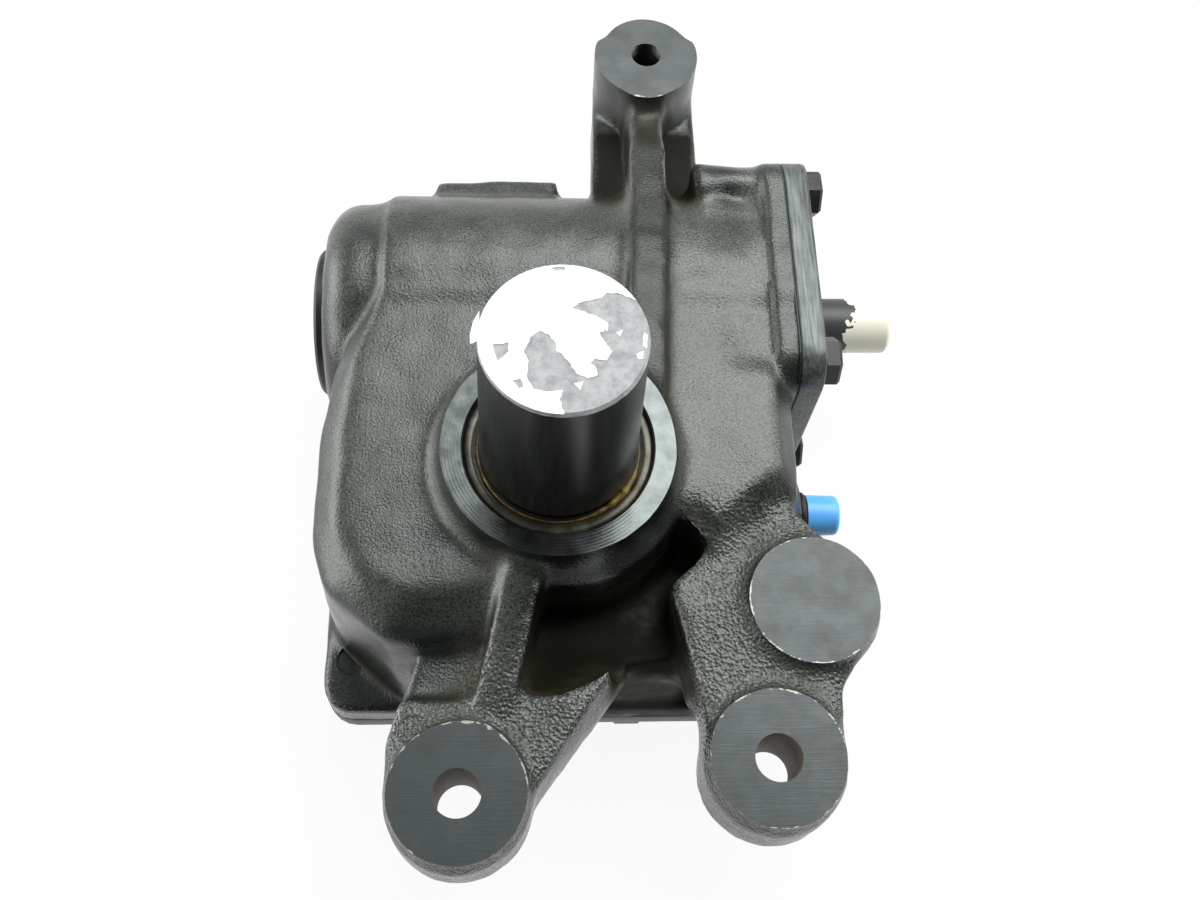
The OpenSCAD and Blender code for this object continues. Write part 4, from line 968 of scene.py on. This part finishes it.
def rounded_plate(name, node, axis, levels, reach, width, material):
    """A copy of a CAD plate whose outer edges at the given levels are rounded."""
    bm = bmesh.new()
    bm.from_mesh(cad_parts[node].data)
    bmesh.ops.remove_doubles(bm, verts=bm.verts, dist=1e-6)
    bmesh.ops.dissolve_limit(bm, angle_limit=math.radians(1), verts=bm.verts, edges=bm.edges)
    outer = []
    for edge in bm.edges:
        level = {round(v.co[axis] / MM, 2) for v in edge.verts}
        middle = (edge.verts[0].co + edge.verts[1].co) / 2 / MM
        if len(level) == 1 and level <= levels and reach(middle) and edge.calc_face_angle(0) > 0.9:
            outer.append(edge)
    bmesh.ops.bevel(
        bm, geom=outer, offset=width * MM, affect="EDGES", segments=3, profile=0.5, material=-1,
        clamp_overlap=True,
    )
    print(node, "rounded along", len(outer), "edges")
    return piece(name, bm, "housing", (material,), (node,), 30)


rounded_plate(
    "end_cover_plate", "end_cover", 0, {101.0, 112.0},
    lambda p: max(abs(p.y - WORM[0]), abs(p.z - WORM[1])) > 50, 1.4, cover_edge,
)
rounded_plate(
    "side_cover_plate", "side_cover", 2, {-109.0, -118.5, -126.5},
    lambda p: p.xy.length > 40, 1.5, cover_paint,
)

# %% One bolt
HEAD_AF, HEAD_H, SHANK_R = 18.5, 7.4, 6.0
WASHER_R, WASHER_H, CHAMFER, CROWN = HEAD_AF / 2 - 0.6, 0.6, 1.3, 0.88


def bolt(bm, turn, length):
    """A hexagon bolt whose head stands on the origin along the turned Z."""
    washer = drum(bm, WASHER_R, 0, WASHER_H + 0.1, sides=48)
    shank = drum(bm, SHANK_R, -length, 0.3, sides=48)
    head = drum(bm, HEAD_AF / math.sqrt(3), WASHER_H, HEAD_H - CHAMFER, sides=6)
    head_faces = {face for corner in head for face in corner.link_faces}
    top = max(head_faces, key=lambda face: face.calc_center_median().z)
    crown = bmesh.ops.extrude_discrete_faces(bm, faces=[top])["faces"][0].verts[:]
    bmesh.ops.translate(bm, verts=crown, vec=(0, 0, CHAMFER * MM))
    bmesh.ops.scale(bm, verts=crown, vec=(CROWN, CROWN, 1))
    bmesh.ops.transform(bm, matrix=turn, verts=washer + shank + head + crown)


# %% Bolts of both covers
end_bolts = bmesh.new()
for number, (y, z) in enumerate(END_BOLTS):
    spin = Matrix.Rotation(math.radians(47 + 23 * number), 4, "Z")
    upright = Matrix.Translation(Vector((112.0, y, z)) * MM) @ Matrix.Rotation(math.radians(90), 4, "Y")
    bolt(end_bolts, upright @ spin, 34.9)
bmesh.ops.recalc_face_normals(end_bolts, faces=end_bolts.faces)
piece(
    "end_cover_hex_bolts", end_bolts, "housing", (bolt_black,), ("end_cover_bolts",), 20
)

side_bolts = bmesh.new()
spin = Matrix.Rotation(math.radians(30), 4, "Z")
for x, y in SIDE_BOLTS:
    upright = Matrix.Translation(Vector((x, y, -118.5)) * MM) @ Matrix.Rotation(math.pi, 4, "X")
    bolt(side_bolts, upright @ spin, 23.2)
bmesh.ops.recalc_face_normals(side_bolts, faces=side_bolts.faces)
piece(
    "side_cover_hex_bolts", side_bolts, "housing", (bolt_black,), ("side_cover_bolts",), 20
)

# %% Seal
seal = bmesh.new()
lathe(seal, [
    (36.6, -10.4), (36.6, -3.2), (36.2, -2.2), (35.4, -1.7), (33.6, -1.5), (32.9, -1.8), (32.2, -2.6),
    (30.6, -2.9), (30.6, -3.5), (32.0, -3.7), (35.3, -3.9), (35.3, -10.4),
])
piece("pressed_seal", seal, "housing", (seal_steel,), ("sector_seal",), 50)

# %% Grease
GREASE_R, GREASE_Z, ROUND, ACROSS = 31.1, -2.6, 180, 8
HEAPS = ((318, 22, 1.7), (215, 24, 0.5), (270, 30, 0.25))
smear = bmesh.new()
start = Matrix.Translation(Vector((GREASE_R, 0, GREASE_Z)) * MM)
upright = Matrix.Rotation(math.radians(90), 4, "X")
bmesh.ops.create_circle(smear, segments=ACROSS, radius=1.0 * MM, matrix=start @ upright)
bmesh.ops.spin(
    smear, geom=smear.verts[:] + smear.edges[:], cent=(0, 0, 0), axis=(0, 0, 1),
    angle=math.tau, steps=ROUND, use_merge=True,
)
bmesh.ops.remove_doubles(smear, verts=smear.verts, dist=1e-7)
for point in smear.verts:
    around = math.atan2(point.co.y, point.co.x)
    across = math.atan2(point.co.z - GREASE_Z * MM, point.co.xy.length - GREASE_R * MM)
    a = math.tau / ROUND * (round(around / math.tau * ROUND) % ROUND)
    b = math.tau / ACROSS * (round(across / math.tau * ACROSS) % ACROSS)
    thick = 0.14 + sum(
        high * math.exp(-(((math.degrees(a) - at) / wide) ** 2)) for at, wide, high in HEAPS
    )
    thick *= 1 + 0.5 * noise.noise(Vector((math.cos(a), math.sin(a), 0.3)) * 9)
    r = GREASE_R + 0.9 * thick * math.cos(b) + 0.15 * noise.noise(Vector((a * 9, b, 5)))
    rise = 0.5 + 0.95 * math.sin(b) + 0.2 * noise.noise(Vector((a * 12, b, 1)))
    point.co = Vector((r * math.cos(a), r * math.sin(a), GREASE_Z + thick * rise)) * MM
bmesh.ops.recalc_face_normals(smear, faces=smear.faces)
piece("grease_ring", smear, "housing", (grease,), (), 80)

# %% Finishes on the CAD nodes
FINISHES = {
    fibre: ["side_cover_gasket"],
    bolt_black: ["guide_clamp_screws", "adjusting_screw", "adjuster_locknut"],
    shim: ["end_cover_shims"],
    plug_iron: ["end_plug"],
    ground_steel: [
        "sector_shaft", "worm_shaft", "ball_nut", "recirculating_balls", "ball_return_guide", "guide_clamp",
        "input_bearing_outer_race", "input_bearing_inner_race",
        "closed_bearing_outer_race", "closed_bearing_inner_race",
    ],
    bronze: ["front_bushing", "rear_bushing", "thrust_washer", "input_bearing_cage", "closed_bearing_cage"],
    rubber: ["sector_seal_lip", "input_seal", "port_o_ring"],
    cap_black: ["sector_shaft_cap"],
    cap_cream: ["input_shaft_cap"],
    fitting_black: ["port_fitting"],
    blue_cap: ["port_plug"],
}
for material, names in FINISHES.items():
    for name in names:
        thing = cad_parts[name]
        thing.data.materials.clear()
        thing.data.materials.append(material)
print("finished", sum(map(len, FINISHES.values())), "CAD nodes")
